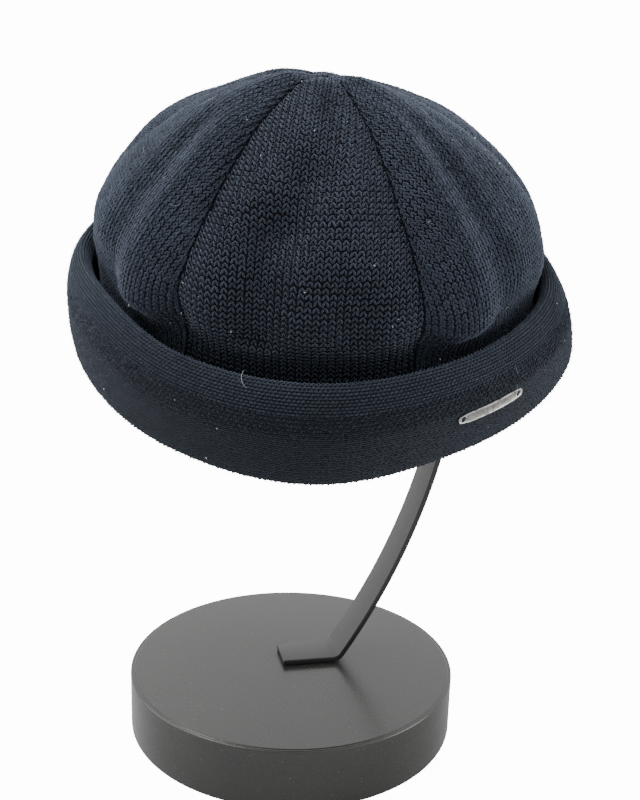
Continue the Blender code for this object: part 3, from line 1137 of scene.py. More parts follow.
@dataclass(frozen=True)
class Fuzz:
    """Loose fibres, pale lint and stray hairs that stand off a knitted piece."""

    name: str                         # of the knitted piece
    slot: Slot
    draws: int                        # seed of the places
    seed: int                         # seed of the first kind's loops
    fibres: int
    specks: int
    hairs: int
    proud: tuple[float, float, float]  # how far out the middles of the three kinds lie
    fibre: Loop = Loop(
        width=2.0, height=1.0, depth=0.30, yarn=0.085, sides=3, steps=2, taper=0.5, pinch=0.3,
        turn_jitter=38.0, size_jitter=0.45)
    lint: Loop = Loop(
        width=0.55, height=0.30, depth=0.10, yarn=0.24, steps=3, taper=0.4, pinch=0.3,
        turn_jitter=60.0, size_jitter=0.5)
    hair: Loop = Loop(
        width=4.6, height=0.7, depth=0.25, yarn=0.10, steps=8, taper=0.5, pinch=0.10,
        turn_jitter=10.0, size_jitter=0.5)
    hair_light: Colour = (0.35, 0.38, 0.44)

    def scatter(
        self, form: CapForm, tree: StitchTree, skin: Skin, step: float,
        spots: Callable[[int, np.random.Generator], tuple[Array, Array]],
    ) -> None:
        """Scatter all three kinds over one skin of the cap, each lying at random.

        Args:
            form: the cap's form.
            tree: lays the loops.
            skin: the skin.
            step: how far its second parameter is moved to measure the normals.
            spots: draws both parameters of a number of places.
        """
        generator = np.random.default_rng(self.draws)
        kinds = (
            ("fuzz", self.fibre, self.fibres, YarnFinish(f"{self.name}_fibres")),
            ("lint", self.lint, self.specks, LintFinish(f"{self.name}_dust")),
            ("hairs", self.hair, self.hairs, LintFinish(f"{self.name}_hairs", light=self.hair_light)))
        for number, (kind, loop, count, finish) in enumerate(kinds):
            around, level = spots(count, generator)
            normals = form.normals(skin, around, level, step)
            points = skin(around, level) + normals * self.proud[number]
            wales = unit(np.cross(normals, generator.normal(size=normals.shape)))
            places = form.lay(points, normals, wales, np.ones(len(points)))
            tree.knit(
                f"{self.name}_{kind}", places, loop, self.seed + number, finish.build(), self.slot)


# ---- crown ------------------------------------------------------------------------------


@dataclass
class Crown:
    """The knitted dome of six sections."""

    form: CapForm
    tree: StitchTree
    loop: Loop = Loop(
        width=2.00, height=1.72, depth=0.52, yarn=0.86, taper=0.26, pinch=0.10, waist=0.34, sag=0.34)
    side_loop: Loop = Loop(
        width=1.58, height=1.76, depth=0.15, yarn=1.02, taper=0.14, pinch=0.10, waist=0.14, sag=0.08,
        roll=5.0, turn_jitter=8.0, size_jitter=0.10)
    fuzz: Fuzz = Fuzz(
        "crown", Slot.CROWN, draws=7, seed=51, fibres=4240, specks=52, hairs=14,
        proud=(0.62, 0.75, 0.75))
    # painted shade: the ground between the loops is coloured far darker than the yarn
    ground: PaintedShadeGroundFinish = PaintedShadeGroundFinish("crown_ground_wool")
    wool: YarnFinish = YarnFinish("crown_wool")
    seed: int = 11                    # of the front section's loops
    draws: int = 101                  # seed of their places
    stray: float = 0.09               # how far loops stray from their rows
    wale: float = 2.76                # distance of the loops across
    course: float = 2.1               # distance of the rows
    side_wale: float = 2.4            # the same two in the finer sections beside the front one
    side_course: float = 1.8
    wale_step: float = 0.6            # levels over which a loop's direction is measured
    recess: float = 0.95              # how far the ground lies below the loops' middles
    side_recess: float = 0.32
    recess_blend: float = 3.0         # degrees beside the front section over which that changes
    around: int = 240
    outer_rings: int = 100
    inner_rings: int = 24
    samples: int = 721                # places at which the way up is measured
    width_samples: int = 25           # and the way across a section
    lowest_row: float = -56.0         # level of the first row of loops
    levels: Pair = (-89.0, 89.9)      # what the loops keep within
    top_margin: float = 1.0           # bare way to the peak
    seam_margin: float = 0.22         # bare strip on both sides of a seam
    least_width: float = 0.5          # half a section's width never counts as less
    least_loop: float = 0.34          # narrowest loop beside a seam, as a share of a full one
    front_share: float = 0.55         # how much of the loose wool the front section gets
    tries: int = 3                    # how many spots are drawn for each that is wanted

    def rise(self) -> tuple[Array, Array]:
        """Return levels and the length up a section's middle line at each of them."""
        levels = np.linspace(-90.0, 90.0, self.samples)
        return levels, arc_length(self.form.crown, 0.0, levels)

    def half_width(self, section: int, level: Array) -> Array:
        """Measure half the width of a section along its surface.

        Args:
            section: its number, counted from the front section.
            level: the crown's levels.

        Returns:
            The half width at each level.
        """
        edges = np.linspace(-0.5 * self.form.sector, 0.5 * self.form.sector, self.width_samples)
        line = self.form.crown(self.form.sector * section + edges[:, None], level[None, :])
        return 0.5 * np.linalg.norm(np.diff(line, axis=0), axis=-1).sum(axis=0)

    def wall_face(self, rings: int, depth: Array, start: int, order: int) -> tuple[Array, list, list]:
        """Lay out one face of the crown's wall, closed at the peak.

        Args:
            rings: how many rings of points it has, the peak included.
            depth: how far each column of points lies under the outer surface.
            start: number of its first point.
            order: 1 if it looks outwards, -1 if it looks inwards.

        Returns:
            Its points, its faces and a UV pair for each of their corners.
        """
        levels, rise = self.rise()
        turns = even_turns(self.around)
        rows = np.interp(np.linspace(0.0, rise[-1], rings), rise, levels)
        grid = self.form.crown(turns[None, :], rows[:-1, None])
        normals = self.form.normals(
            self.form.crown, turns[None, :], rows[:-1, None], self.form.crown_step)
        peak = self.form.crown(np.zeros(1), np.full(1, 90.0)) - np.array([[0.0, 0.0, depth[0]]])
        points = np.concatenate([(grid - normals * depth[:, None]).reshape(-1, 3), peak])
        section = np.round((turns + 180.0 / self.around) / self.form.sector).astype(int)
        halves = np.stack([self.half_width(s, rows) for s in range(self.form.sections + 1)])
        widths = halves[section].T
        off = turns - self.form.sector * section
        left = off / (0.5 * self.form.sector) * widths / self.wale
        off = turns + 360.0 / self.around - self.form.sector * section
        right = off / (0.5 * self.form.sector) * widths / self.wale
        high = np.interp(rows, levels, rise) / self.course
        faces, uvs = [], []
        for ring in range(rings - 1):
            low, above = start + ring * self.around, start + (ring + 1) * self.around
            for k in range(self.around):
                after = (k + 1) % self.around
                face = (low + k, low + after, above + after, above + k)
                corners = ((left[ring, k], high[ring]), (right[ring, k], high[ring]),
                           (right[ring + 1, k], high[ring + 1]), (left[ring + 1, k], high[ring + 1]))
                if ring == rings - 2:
                    face, corners = (*face[:2], above), (*corners[:2], (0.0, high[ring + 1]))
                faces.append(face[::order])
                uvs.extend(corners[::order])
        return points, faces, uvs

    def shell(self) -> bpy.types.Object:
        """Make the closed ground under the loops: outer face, rolled edge and inner face.

        Returns:
            The object.
        """
        turns = even_turns(self.around)
        beside = np.abs(turn_between(turns, 0.0)) - 0.5 * self.form.sector
        depth = self.recess + (self.side_recess - self.recess) * smooth_step(beside / self.recess_blend)
        outer, faces, uvs = self.wall_face(self.outer_rings, depth, 0, 1)
        start = len(outer)
        depth = np.full(self.around, self.form.wall)
        inner, inner_faces, inner_uvs = self.wall_face(self.inner_rings, depth, start, -1)
        faces, uvs = faces + inner_faces, uvs + inner_uvs
        for k in range(self.around):
            after = (k + 1) % self.around
            faces.append((k, start + k, start + after, after))
            uvs.extend(((k, 0.0), (k, 1.0), (k + 1.0, 1.0), (k + 1.0, 0.0)))
        points = self.form.place(np.concatenate([outer, inner]))
        return add_piece("crown_ground", points, faces, self.ground.build(), uvs)

    def places(self, section: int) -> Places:
        """Find where the loops of one section lie, in rows across its middle line.

        Args:
            section: its number, counted from the front section.

        Returns:
            The places.
        """
        levels, rise = self.rise()
        wale, course = (self.side_wale, self.side_course) if section else (self.wale, self.course)
        start = np.interp(self.lowest_row, levels, rise)
        rows = np.interp(np.arange(start, rise[-1] - self.top_margin, course), rise, levels)
        halves = self.half_width(section, rows)
        room = np.maximum(halves - self.seam_margin, 0.0)
        full = np.floor(room / wale)
        reach = int(full.max())
        across = (np.arange(-reach, reach) + 0.5) * wale
        level, offset = np.meshgrid(rows, across, indexing="ij")
        kept = np.abs(offset) < full[:, None] * wale
        spare = room - full * wale
        narrow = spare > self.least_loop * wale
        edge = (room - 0.5 * spare)[narrow]
        level = np.concatenate([level[kept], rows[narrow], rows[narrow]])
        offset = np.concatenate([offset[kept], edge, -edge])
        sizes = np.ones(len(level))
        sizes[kept.sum():] = np.tile(spare[narrow] / wale, 2)
        generator = np.random.default_rng(self.draws + section)
        offset = offset + generator.normal(0.0, self.stray, len(level)) * (sizes == 1.0)
        level = level + generator.normal(0.0, self.stray, len(level)) / (rise[-1] / 180.0)

        def at(shift: float) -> tuple[Array, Array]:
            """Find the loops on the crown, all moved up or down.

            Args:
                shift: how many levels up.

            Returns:
                Directions and levels.
            """
            moved = np.clip(level + shift, *self.levels)
            width = np.maximum(np.interp(moved, rows, halves), self.least_width)
            return self.form.sector * section + 0.5 * self.form.sector * offset / width, moved

        crown = self.form.crown
        normals = self.form.normals(crown, *at(0.0), self.form.crown_step)
        wales = unit(crown(*at(self.wale_step)) - crown(*at(-self.wale_step)))
        return self.form.lay(crown(*at(0.0)), normals, wales, sizes)

    def loop_of(self, section: int) -> Loop:
        """Choose a section's loop, its leg nearer to the front proud of the other.

        Args:
            section: its number, counted from the front section.

        Returns:
            Its sizes.
        """
        if section == 0:
            return self.loop
        back = self.form.sections // 2
        return replace(self.side_loop, roll=self.side_loop.roll * ((section < back) - (section > back)))

    def spots(self, count: int, generator: np.random.Generator) -> tuple[Array, Array]:
        """Draw direction and level of a number of places, thinner on the front section.

        Args:
            count: how many places.
            generator: source of the draws.

        Returns:
            The directions and the levels.
        """
        levels, rise = self.rise()
        foot = np.interp(self.lowest_row, levels, rise)
        drawn = self.tries * count
        level = np.interp(generator.uniform(foot, rise[-1], drawn), rise, levels)
        around = generator.uniform(-180.0, 180.0, drawn)
        share = np.cos(np.radians(np.clip(level, 0.0, 90.0)))
        share = share * np.where(np.abs(around) < 0.5 * self.form.sector, self.front_share, 1.0)
        kept = generator.uniform(size=drawn) < share
        return around[kept][:count], level[kept][:count]

    def build(self) -> None:
        """Make the ground, the loops of every section and the loose wool."""
        rest_on_frame(self.shell(), Slot.CROWN, "crown")
        yarn = self.wool.build()
        for section in range(self.form.sections):
            self.tree.knit(
                f"crown_stitches_{section + 1}", self.places(section), self.loop_of(section),
                self.seed + section, yarn, Slot.CROWN)
        self.fuzz.scatter(self.form, self.tree, self.form.crown, self.form.crown_step, self.spots)


# ---- cuff -------------------------------------------------------------------------------


@dataclass
class Cuff:
    """The turned-up roll of knit round the opening."""

    form: CapForm
    tree: StitchTree
    crest_loop: Loop = Loop(
        width=1.34, height=0.24, depth=0.34, yarn=0.72, steps=2, pinch=0.3, slant=8.0, taper=0.30,
        turn_jitter=8.0, size_jitter=0.12)
    face_loop: Loop = Loop(
        width=1.50, height=0.85, depth=0.34, yarn=0.78, steps=2, pinch=0.3, slant=16.0, taper=0.3,
        turn_jitter=15.0, size_jitter=0.18)
    fuzz: Fuzz = Fuzz(
        "cuff", Slot.CUFF, draws=9, seed=61, fibres=2900, specks=36, hairs=16,
        proud=(0.62, 0.62, 0.66))
    # painted shade: the ground between the bumps is coloured darker than the cuff's yarn
    ground: PaintedShadeGroundFinish = PaintedShadeGroundFinish(
        "cuff_ground_wool", dark=(0.0034, 0.0046, 0.0068), light=(0.0100, 0.0130, 0.0185))
    # painted light and shade: one yarn in two copies, the face's darker than the crown's and about half
    # as light as the crest's, for the light from above on the top roll
    face_painted_shade_wool: YarnFinish = YarnFinish(
        "cuff_wool", dark=(0.0066, 0.0095, 0.0146), light=(0.0182, 0.0246, 0.0360), sheen=0.20)
    crest_painted_light_wool: YarnFinish = YarnFinish(
        "cuff_crest_wool", dark=(0.0126, 0.0178, 0.0264), light=(0.0345, 0.0456, 0.0640), sheen=0.20)
    seed: int = 31                    # of the first band's loops
    draws: int = 5                    # seed of their places
    scatter: float = 0.32             # how far the face's bumps stray, as a share of their distance
    row_scatter: float = 0.12         # the most that this is up and down the section, in its rows
    row: float = 1.55                 # distance of the rows of bumps
    columns: int = 324
    crest_row: float = 1.2            # the same two on the even rows, which are finer
    crest_columns: int = 396
    recess: float = 0.30              # how far the ground lies in
    low_recess: float = 0.08          # and round the lower edge
    sink: float = 0.08                # how far the bumps' middles lie in
    low_sink: float = 0.20            # and how much further round the lower edge
    low_start: float = 0.6            # place on the section where that edge begins
    low_blend: float = 0.5            # and over which the ground's depth changes
    around: int = 240
    section_steps: int = 88
    samples: int = 1601               # places at which the way round the section is measured
    front: float = -90.0              # direction in which it is
    crest_start: float = 1.75         # place on the section where the even rows begin
    first_row: float = 5.9            # place on the section where the rows start, inside
    last_row: float = -5.0            # and where they end, under the fold
    fold_row: float = -2.0            # and where the outer face turns under

    def along(self) -> tuple[Array, Array]:
        """Measure the way round the cuff's section.

        Returns:
            Places on the section and the length of the skin up to each of them.
        """
        end = self.last_row + len(self.form.cuff_section)
        places = np.linspace(self.last_row, end, self.samples)
        return places, arc_length(self.form.cuff, self.front, places)

    def shell(self) -> bpy.types.Object:
        """Make the closed ground under the bumps.

        Returns:
            The object.
        """
        places, lengths = self.along()
        count = self.section_steps
        rows = np.interp(np.linspace(0.0, lengths[-1], count + 1)[:-1], lengths, places)
        turns = even_turns(self.around)
        high = smooth_step((rows - self.low_start) / self.low_blend)
        recess = self.low_recess + (self.recess - self.low_recess) * high
        normals = self.form.normals(self.form.cuff, turns[:, None], rows[None, :], self.form.cuff_step)
        grid = self.form.cuff(turns[:, None], rows[None, :]) - recess[:, None] * normals
        across = np.arange(self.around + 1) * self.columns / self.around
        up = lengths[-1] * np.arange(count + 1) / count / self.row
        faces, uvs = [], []
        for k in range(self.around):
            near, far = k * count, (k + 1) % self.around * count
            for r in range(count):
                after = (r + 1) % count
                faces.append((near + r, far + r, far + after, near + after))
                uvs.extend(((across[k], up[r]), (across[k + 1], up[r]),
                            (across[k + 1], up[r + 1]), (across[k], up[r + 1])))
        points = self.form.place(grid.reshape(-1, 3))
        return add_piece("cuff_ground", points, faces, self.ground.build(), uvs)

    def places(self, low: float, high: float, row: float, columns: int, scatter: float) -> Places:
        """Find where the bumps of one band lie, in rows round the cuff.

        Args:
            low: place on the section where the band begins.
            high: place where it ends.
            row: distance of its rows.
            columns: how many bumps a row has.
            scatter: how far they stray, as a share of their distance.

        Returns:
            The places.
        """
        places, lengths = self.along()
        start, end = np.interp((low, high), places, lengths)
        rows = np.interp(np.arange(start + 0.5 * row, end, row), lengths, places)
        step = 360.0 / columns
        number, column = np.meshgrid(np.arange(len(rows)), np.arange(columns), indexing="ij")
        direction = (column + 0.5 * (number % 2)).ravel() * step
        along = rows[number.ravel()]
        generator = np.random.default_rng(self.draws)
        direction = direction + generator.uniform(-0.5, 0.5, len(along)) * scatter * step
        stray = generator.uniform(-self.row_scatter, self.row_scatter, len(along))
        along = along + stray * scatter
        cuff, tiny = self.form.cuff, self.form.cuff_step
        normals = self.form.normals(cuff, direction, along, tiny)
        sink = self.sink + self.low_sink * (along < self.low_start)
        points = cuff(direction, along) - sink[:, None] * normals
        wales = unit(cuff(direction, along + tiny) - cuff(direction, along - tiny))
        return self.form.lay(points, normals, wales, np.ones(len(points)))

    def spots(self, count: int, generator: np.random.Generator) -> tuple[Array, Array]:
        """Draw direction and place on the section of a number of places.

        Args:
            count: how many places.
            generator: source of the draws.

        Returns:
            The directions and the places on the section.
        """
        places, lengths = self.along()
        end = np.interp(self.first_row, places, lengths)
        along = np.interp(generator.uniform(0.0, end, count), lengths, places)
        return generator.uniform(0.0, 360.0, count), along

    def build(self) -> None:
        """Make the ground, the bumps under the fold, on the face and on the crest, and the wool."""
        rest_on_frame(self.shell(), Slot.CUFF, "cuff")
        # painted light and shade: the crest's bumps take the lighter yarn, the bumps under the fold and
        # on the face the darker one
        yarn, crest_painted_light_yarn = self.face_painted_shade_wool.build(), self.crest_painted_light_wool.build()
        face = (self.row, self.columns, self.scatter)
        crest = (self.crest_row, self.crest_columns, 0.0)
        bands = (
            ((self.last_row, self.fold_row, *face), self.face_loop, yarn),
            ((self.fold_row, self.crest_start, *face), self.face_loop, yarn),
            ((self.crest_start, self.first_row, *crest), self.crest_loop, crest_painted_light_yarn))
        for number, (band, loop, wool) in enumerate(bands):
            self.tree.knit(
                f"cuff_stitches_{number + 1}", self.places(*band), loop, self.seed + number, wool,
                Slot.CUFF)
        self.fuzz.scatter(self.form, self.tree, self.form.cuff, self.form.cuff_step, self.spots)


# ---- badge ------------------------------------------------------------------------------


@dataclass
class Badge:
    """The slim bent plate on the cuff, sewn on through a hole near each end."""

    form: CapForm
    length: float = 31.1
    height: float = 3.9
    tip_height: float = 2.5
    taper: float = 4.6                # length of each narrowing end
    corner: float = 0.9
    thickness: float = 0.75
    rim: float = 0.62                 # width of the raised border
    sink: float = 0.30                # how far the field lies below it
    direction: float = -52.9          # of its middle
    grain_turn: float = 270.0         # degrees from there to the direction of its polish
    level: float = 0.474              # of its middle line, as a share of the cuff's height
    hole: float = 1.9
    hole_stretch: float = 1.35        # how much longer it is than high
    hole_sides: int = 28
    drill_depth: float = 6.0
    inset: float = 2.05               # from each end to its hole's middle
    steps: int = 48                   # parts into which its length is cut so that it can bend
    corner_steps: int = 5
    edge_round: float = 0.24
    edge_steps: int = 2
    sharp: float = 32.0               # degrees between faces from which an edge looks sharp
    thread: float = 0.60
    strands: Pair = (-0.36, 0.30)     # how far the strands lie off the middle line
    strand_route: tuple = (
        # distance to the right of the hole's middle, distance out from the plate's back
        (-0.6, -1.2), (-0.5, -0.2), (-0.3, 0.36), (0.3, 0.40), (0.5, -0.2), (0.6, -1.2),
    )
    cotton: YarnFinish = YarnFinish("badge_thread", light=(0.016, 0.019, 0.028))

    def at(self, along: float, up: float, out: float) -> Vector:
        """Find a point of the plate in the world.

        Args:
            along: distance from its middle to the right, seen from the front.
            up: distance above its middle line.
            out: distance out from its back face.

        Returns:
            The point in metres.
        """
        radius = self.form.cuff_outer(np.array(self.direction), np.array(self.level))[0]
        direction = np.array(self.direction + along * 360.0 / (math.tau * radius))
        foot, top = (self.form.shape(column, direction) for column in (3, 4))
        share = np.array(self.level + up / (top - foot))
        depth = np.array(-(self.form.bulge + self.form.gap + out))
        return Vector(self.form.place(self.form.cuff_at(direction, depth, share)))

    def blank(self) -> bmesh.types.BMesh:
        """Make the flat plate with its sunk field and rounded edges, its front towards -Y.

        Returns:
            The bmesh, in millimetres.
        """
        half, top, tip = self.length / 2, self.height / 2, self.tip_height / 2
        shoulder = half - self.taper
        outline = [(-half, -tip), (-shoulder, -top), (shoulder, -top), (half, -tip),
                   (half, tip), (shoulder, top), (-shoulder, top), (-half, tip)]
        bm = bmesh.new()
        back = bm.faces.new([bm.verts.new((x, self.thickness / 2, z)) for x, z in outline])
        grown = bmesh.ops.extrude_face_region(bm, geom=[back])["geom"]
        for vert in (item for item in grown if isinstance(item, bmesh.types.BMVert)):
            vert.co.y = -self.thickness / 2
        bmesh.ops.recalc_face_normals(bm, faces=bm.faces)
        corners = [
            e for e in bm.edges if abs(e.verts[0].co.y - e.verts[1].co.y) > 0.5 * self.thickness]
        bmesh.ops.bevel(
            bm, geom=corners, offset=self.corner, segments=self.corner_steps, profile=0.5,
            affect="EDGES")
        front = [face for face in bm.faces if face.normal.y < -0.9]
        bmesh.ops.inset_region(
            bm, faces=front, thickness=self.rim, depth=-self.sink, use_even_offset=True)
        tone = bm.verts.layers.float.new(TONE)
        for vert in front[0].verts:
            vert[tone] = 1.0
        rims = [e for e in bm.edges if e.calc_face_angle(0.0) > 0.9
                and all(abs(abs(v.co.y) - self.thickness / 2) < 0.01 for v in e.verts)]
        bmesh.ops.bevel(
            bm, geom=rims, offset=self.edge_round, segments=self.edge_steps, profile=0.5,
            affect="EDGES")
        return bm

    def plate(self, material: bpy.types.Material) -> bpy.types.Object:
        """Bend the plate round the cuff and cut its two holes.

        Args:
            material: its material.

        Returns:
            The object.
        """
        bm = self.blank()
        for step in range(1, self.steps):
            cut = (step / self.steps - 0.5) * self.length
            bmesh.ops.bisect_plane(
                bm, geom=bm.verts[:] + bm.edges[:] + bm.faces[:], plane_co=(cut, 0.0, 0.0),
                plane_no=(1.0, 0.0, 0.0))
        for vert in bm.verts:
            vert.co = self.at(vert.co.x, vert.co.z, 0.5 * self.thickness - vert.co.y)
        bmesh.ops.recalc_face_normals(bm, faces=bm.faces)
        plate = add_object("badge_plate", mesh_of(bm, "badge_plate", material))
        drills = [self.drill(side, material) for side in (-1, 1)]
        for drill in drills:
            cut = plate.modifiers.new("hole", "BOOLEAN")
            cut.operation, cut.solver, cut.object = "DIFFERENCE", "EXACT", drill
        plate.data = made_plain(plate)
        for drill in drills:
            bpy.data.objects.remove(drill, do_unlink=True)
        plate.data.shade_smooth()
        plate.data.set_sharp_from_angle(angle=math.radians(self.sharp))
        return plate

    def drill(self, side: int, material: bpy.types.Material) -> bpy.types.Object:
        """Make the cutter of the hole near one end.

        Args:
            side: 1 for the right end, -1 for the left.
            material: its material.

        Returns:
            The object.
        """
        along = side * (self.length / 2 - self.inset)
        middle = self.at(along, 0.0, self.thickness / 2)
        outward = self.at(along, 0.0, 1.0) - self.at(along, 0.0, 0.0)
        bm = bmesh.new()
        bmesh.ops.create_cone(
            bm, cap_ends=True, segments=self.hole_sides, radius1=self.hole / 2 * MM,
            radius2=self.hole / 2 * MM, depth=self.drill_depth * MM)
        turn = outward.to_track_quat("Z", "Y").to_matrix().to_4x4()
        oval = Matrix.Diagonal((1.0, self.hole_stretch, 1.0, 1.0))
        bmesh.ops.transform(bm, matrix=Matrix.Translation(middle) @ turn @ oval, verts=bm.verts)
        return add_object("drill", mesh_of(bm, "drill", material))

    def threads(self) -> bpy.types.Object:
        """Sew both ends down with strands that lie in the holes.

        Returns:
            The object.
        """
        curve = bpy.data.curves.new("badge_threads", "CURVE")
        curve.dimensions = "3D"
        curve.bevel_depth = self.thread / 2 * MM
        curve.bevel_resolution = 2
        curve.use_fill_caps = True
        for side in (-1, 1):
            hole = side * (self.length / 2 - self.inset)
            for height in self.strands:
                spline = curve.splines.new("NURBS")
                spline.points.add(len(self.strand_route) - 1)
                for point, (along, out) in zip(spline.points, self.strand_route):
                    point.co = (*self.at(hole + along, height, out), 1.0)
                spline.use_endpoint_u = True
                spline.order_u = 3
                spline.resolution_u = 4
        holder = add_object("badge_threads", curve)
        mesh = made_plain(holder)
        bpy.data.objects.remove(holder, do_unlink=True)
        mesh.materials.clear()
        mesh.materials.append(self.cotton.build())
        mesh.shade_smooth()
        return add_object("badge_threads", mesh)

    def build(self) -> None:
        """Make the plate and its threads."""
        silver = MetalFinish("badge_silver", self.direction + self.grain_turn)
        rest_on_frame(self.plate(silver.build()), Slot.BADGE, "badge")
        rest_on_frame(self.threads(), Slot.CUFF)


# ---- stand ------------------------------------------------------------------------------


@dataclass
class Stand:
    """Round base, bent flat bar and the domed disc that carries the cap."""

    base_radius: float = 75.0
    base_height: float = 26.7
    base_round: float = 0.9
    base_margin: float = 0.6          # width of the last flat ring under the base
    rim_line: tuple[float, float, float] = (0.25, 0.45, 0.65)  # the fine line's edge, middle, edge
    rim_groove: float = 0.35          # and its depth
    arm_width: float = 16.8
    arm_spread: float = 2.4           # how much wider the bar is above its bend
    spread_share: float = 0.70        # share of that on its far side
    arm_thickness: float = 2.5
    arm_direction: float = 12.3       # degrees from +X towards +Y
    arm_offset: float = 2.8
    foot_start: float = -5.0
    foot_places: tuple[float, float, float] = (0.0, 4.0, 8.0)
    foot_length: float = 23.6         # way over which the bar widens
    bend_radius: float = 5.0
    arc_radius: float = 301.2
    arc_centre: Pair = (-226.2, 200.0)
    tip_start: float = -11.0
    bend_steps: int = 16
    arc_steps: int = 40
    tip_steps: int = 36
    edge_round: float = 0.45
    edge_steps: int = 4
    end_round: tuple[Pair, Pair, Pair] = ((0.80, 0.0), (0.93, 0.12), (1.0, 0.45))
    sharp: float = 50.0               # degrees between faces from which an edge looks sharp
    rest_radius: float = 36.0
    rest_dome: float = 66.0           # radius of the head rest's ball
    rest_rim: float = 3.0
    rest_round: float = 0.6
    rest_top: float = 285.4
    rest_offset: float = -6.0
    gap: float = 0.3
    around: int = 224
    rest_around: int = 128
    base_paint: PaintFinish = PaintFinish("stand_grey")
    arm_paint: PaintFinish = PaintFinish("arm_grey", roughness=0.36)
    rest_paint: PaintFinish = PaintFinish(
        "rest_grey", dark=(0.08, 0.08, 0.08), light=(0.12, 0.12, 0.118), roughness=0.8)

    def rest_underside(self) -> float:
        """Return the height of the head rest's flat underside."""
        sag = self.rest_dome - math.sqrt(self.rest_dome ** 2 - self.rest_radius ** 2)
        return self.rest_top - sag - self.rest_rim

    def base(self) -> bpy.types.Object:
        """Turn the disc with its rounded edges and the fine line round its top.

        Returns:
            The object.
        """
        radius, height, soft = self.base_radius, self.base_height, self.base_round
        profile = [(0.0, 0.0), (radius * 0.5, 0.0), (radius - soft - self.base_margin, 0.0)]
        profile += arc((radius - soft, soft), soft, -90.0, 0.0, 5)
        profile += [(radius, height * share) for share in (0.35, 0.65)]
        profile += arc((radius - soft, height - soft), soft, 0.0, 90.0, 6)
        depths = (0.0, self.rim_groove, 0.0)
        profile += [(radius - soft - inset, height - depth)
                    for inset, depth in zip(self.rim_line, depths)]
        profile += [(radius * share, height) for share in (0.97, 0.6, 0.0)]
        return lathe("base_disc", profile, self.around, (0.0, 0.0), self.base_paint.build())

    def head_rest(self) -> bpy.types.Object:
        """Turn the domed disc, its rim softly rounded.

        Returns:
            The object.
        """
        underside, soft = self.rest_underside(), self.rest_round
        angle = math.degrees(math.asin(self.rest_radius / self.rest_dome))
        dome = arc((0.0, self.rest_top - self.rest_dome), self.rest_dome, 90.0 - angle, 90.0, 24)
        profile = [(0.0, underside), (self.rest_radius - 2.0 * soft, underside)]
        profile += arc((self.rest_radius - soft, underside + soft), soft, -90.0, 0.0, 4)
        profile += [(self.rest_radius, dome[0][1] - soft)] + dome[1:-1] + [(0.0, self.rest_top)]
        return lathe(
            "head_rest_disc", profile, self.rest_around, (0.0, self.rest_offset),
            self.rest_paint.build())

    def arm_line(self) -> list[tuple[float, float, float]]:
        """Draw the bar's middle line.

        Returns:
            Places with distance along the bar's direction, height and slope in degrees.
        """
        half = self.arm_thickness / 2
        foot_line = self.base_height + self.gap + half
        tip_line = self.rest_underside() - self.gap - half
        bend_height = foot_line + self.bend_radius - self.arc_centre[1]
        reach = math.sqrt((self.arc_radius - self.bend_radius) ** 2 - bend_height ** 2)
        bend_centre = (self.arc_centre[0] + reach, foot_line + self.bend_radius)
        meet = math.degrees(math.atan2(bend_height, reach))
        top_radius = tip_line - self.arc_centre[1]
        top_centre = (self.arc_centre[0] + self.arc_radius - top_radius, self.arc_centre[1])
        line = [(self.foot_start + step, foot_line, 0.0) for step in self.foot_places]
        bends = (
            (bend_centre, self.bend_radius, -90.0, meet, self.bend_steps),
            (self.arc_centre, self.arc_radius, meet, 0.0, self.arc_steps),
            (top_centre, top_radius, 0.0, 90.0, self.tip_steps))
        for number, (centre, radius, start, end, steps) in enumerate(bends):
            turns = [start + (end - start) * k / steps for k in range(steps + 1)]
            points = arc(centre, radius, start, end, steps)
            bend = [(x, z, turn + 90.0) for (x, z), turn in zip(points, turns)]
            line += bend[number > 0:]
        return line + [(self.tip_start, tip_line, 180.0)]

    def arm_section(self) -> list[Pair]:
        """Draw the outline of the bar's section.

        Returns:
            Points, each offset to the bar's side and up.
        """
        soft = self.edge_round
        wide, high = self.arm_width / 2 - soft, self.arm_thickness / 2 - soft
        corners = ((wide, high), (-wide, high), (-wide, -high), (wide, -high))
        return [
            point for number, middle in enumerate(corners)
            for point in arc(middle, soft, 90.0 * number, 90.0 * number + 90.0, self.edge_steps)]

    def arm_ring(self, place: tuple[float, float, float], share: float, shift: float) -> list[Vector]:
        """Lay the bar's section at one place of its line.

        Args:
            place: distance along the bar's direction, height and slope in degrees.
            share: share of the bar's thickness that the section has there.
            shift: how far it is moved on along the line.

        Returns:
            Its points.
        """
        x, z, slope = place
        turn, angle = math.radians(self.arm_direction), math.radians(slope)
        along = Vector((math.cos(turn), math.sin(turn), 0.0))
        side = Vector((-math.sin(turn), math.cos(turn), 0.0))
        ahead = along * math.cos(angle) + Vector((0.0, 0.0, math.sin(angle)))
        up = along * -math.sin(angle) + Vector((0.0, 0.0, math.cos(angle)))
        middle = along * x + Vector((0.0, 0.0, z)) + side * self.arm_offset + ahead * shift
        thin = (1.0 - share) * self.arm_thickness / 2
        widening = 1.0 if slope else float(smooth_step((x - self.foot_start) / self.foot_length))
        points = []
        for w, t in self.arm_section():
            wider = self.arm_spread * widening * (
                self.spread_share if w > 0.0 else 1.0 - self.spread_share)
            points.append(middle + side * math.copysign(abs(w) - thin + wider, w) + up * (t * share))
        return points

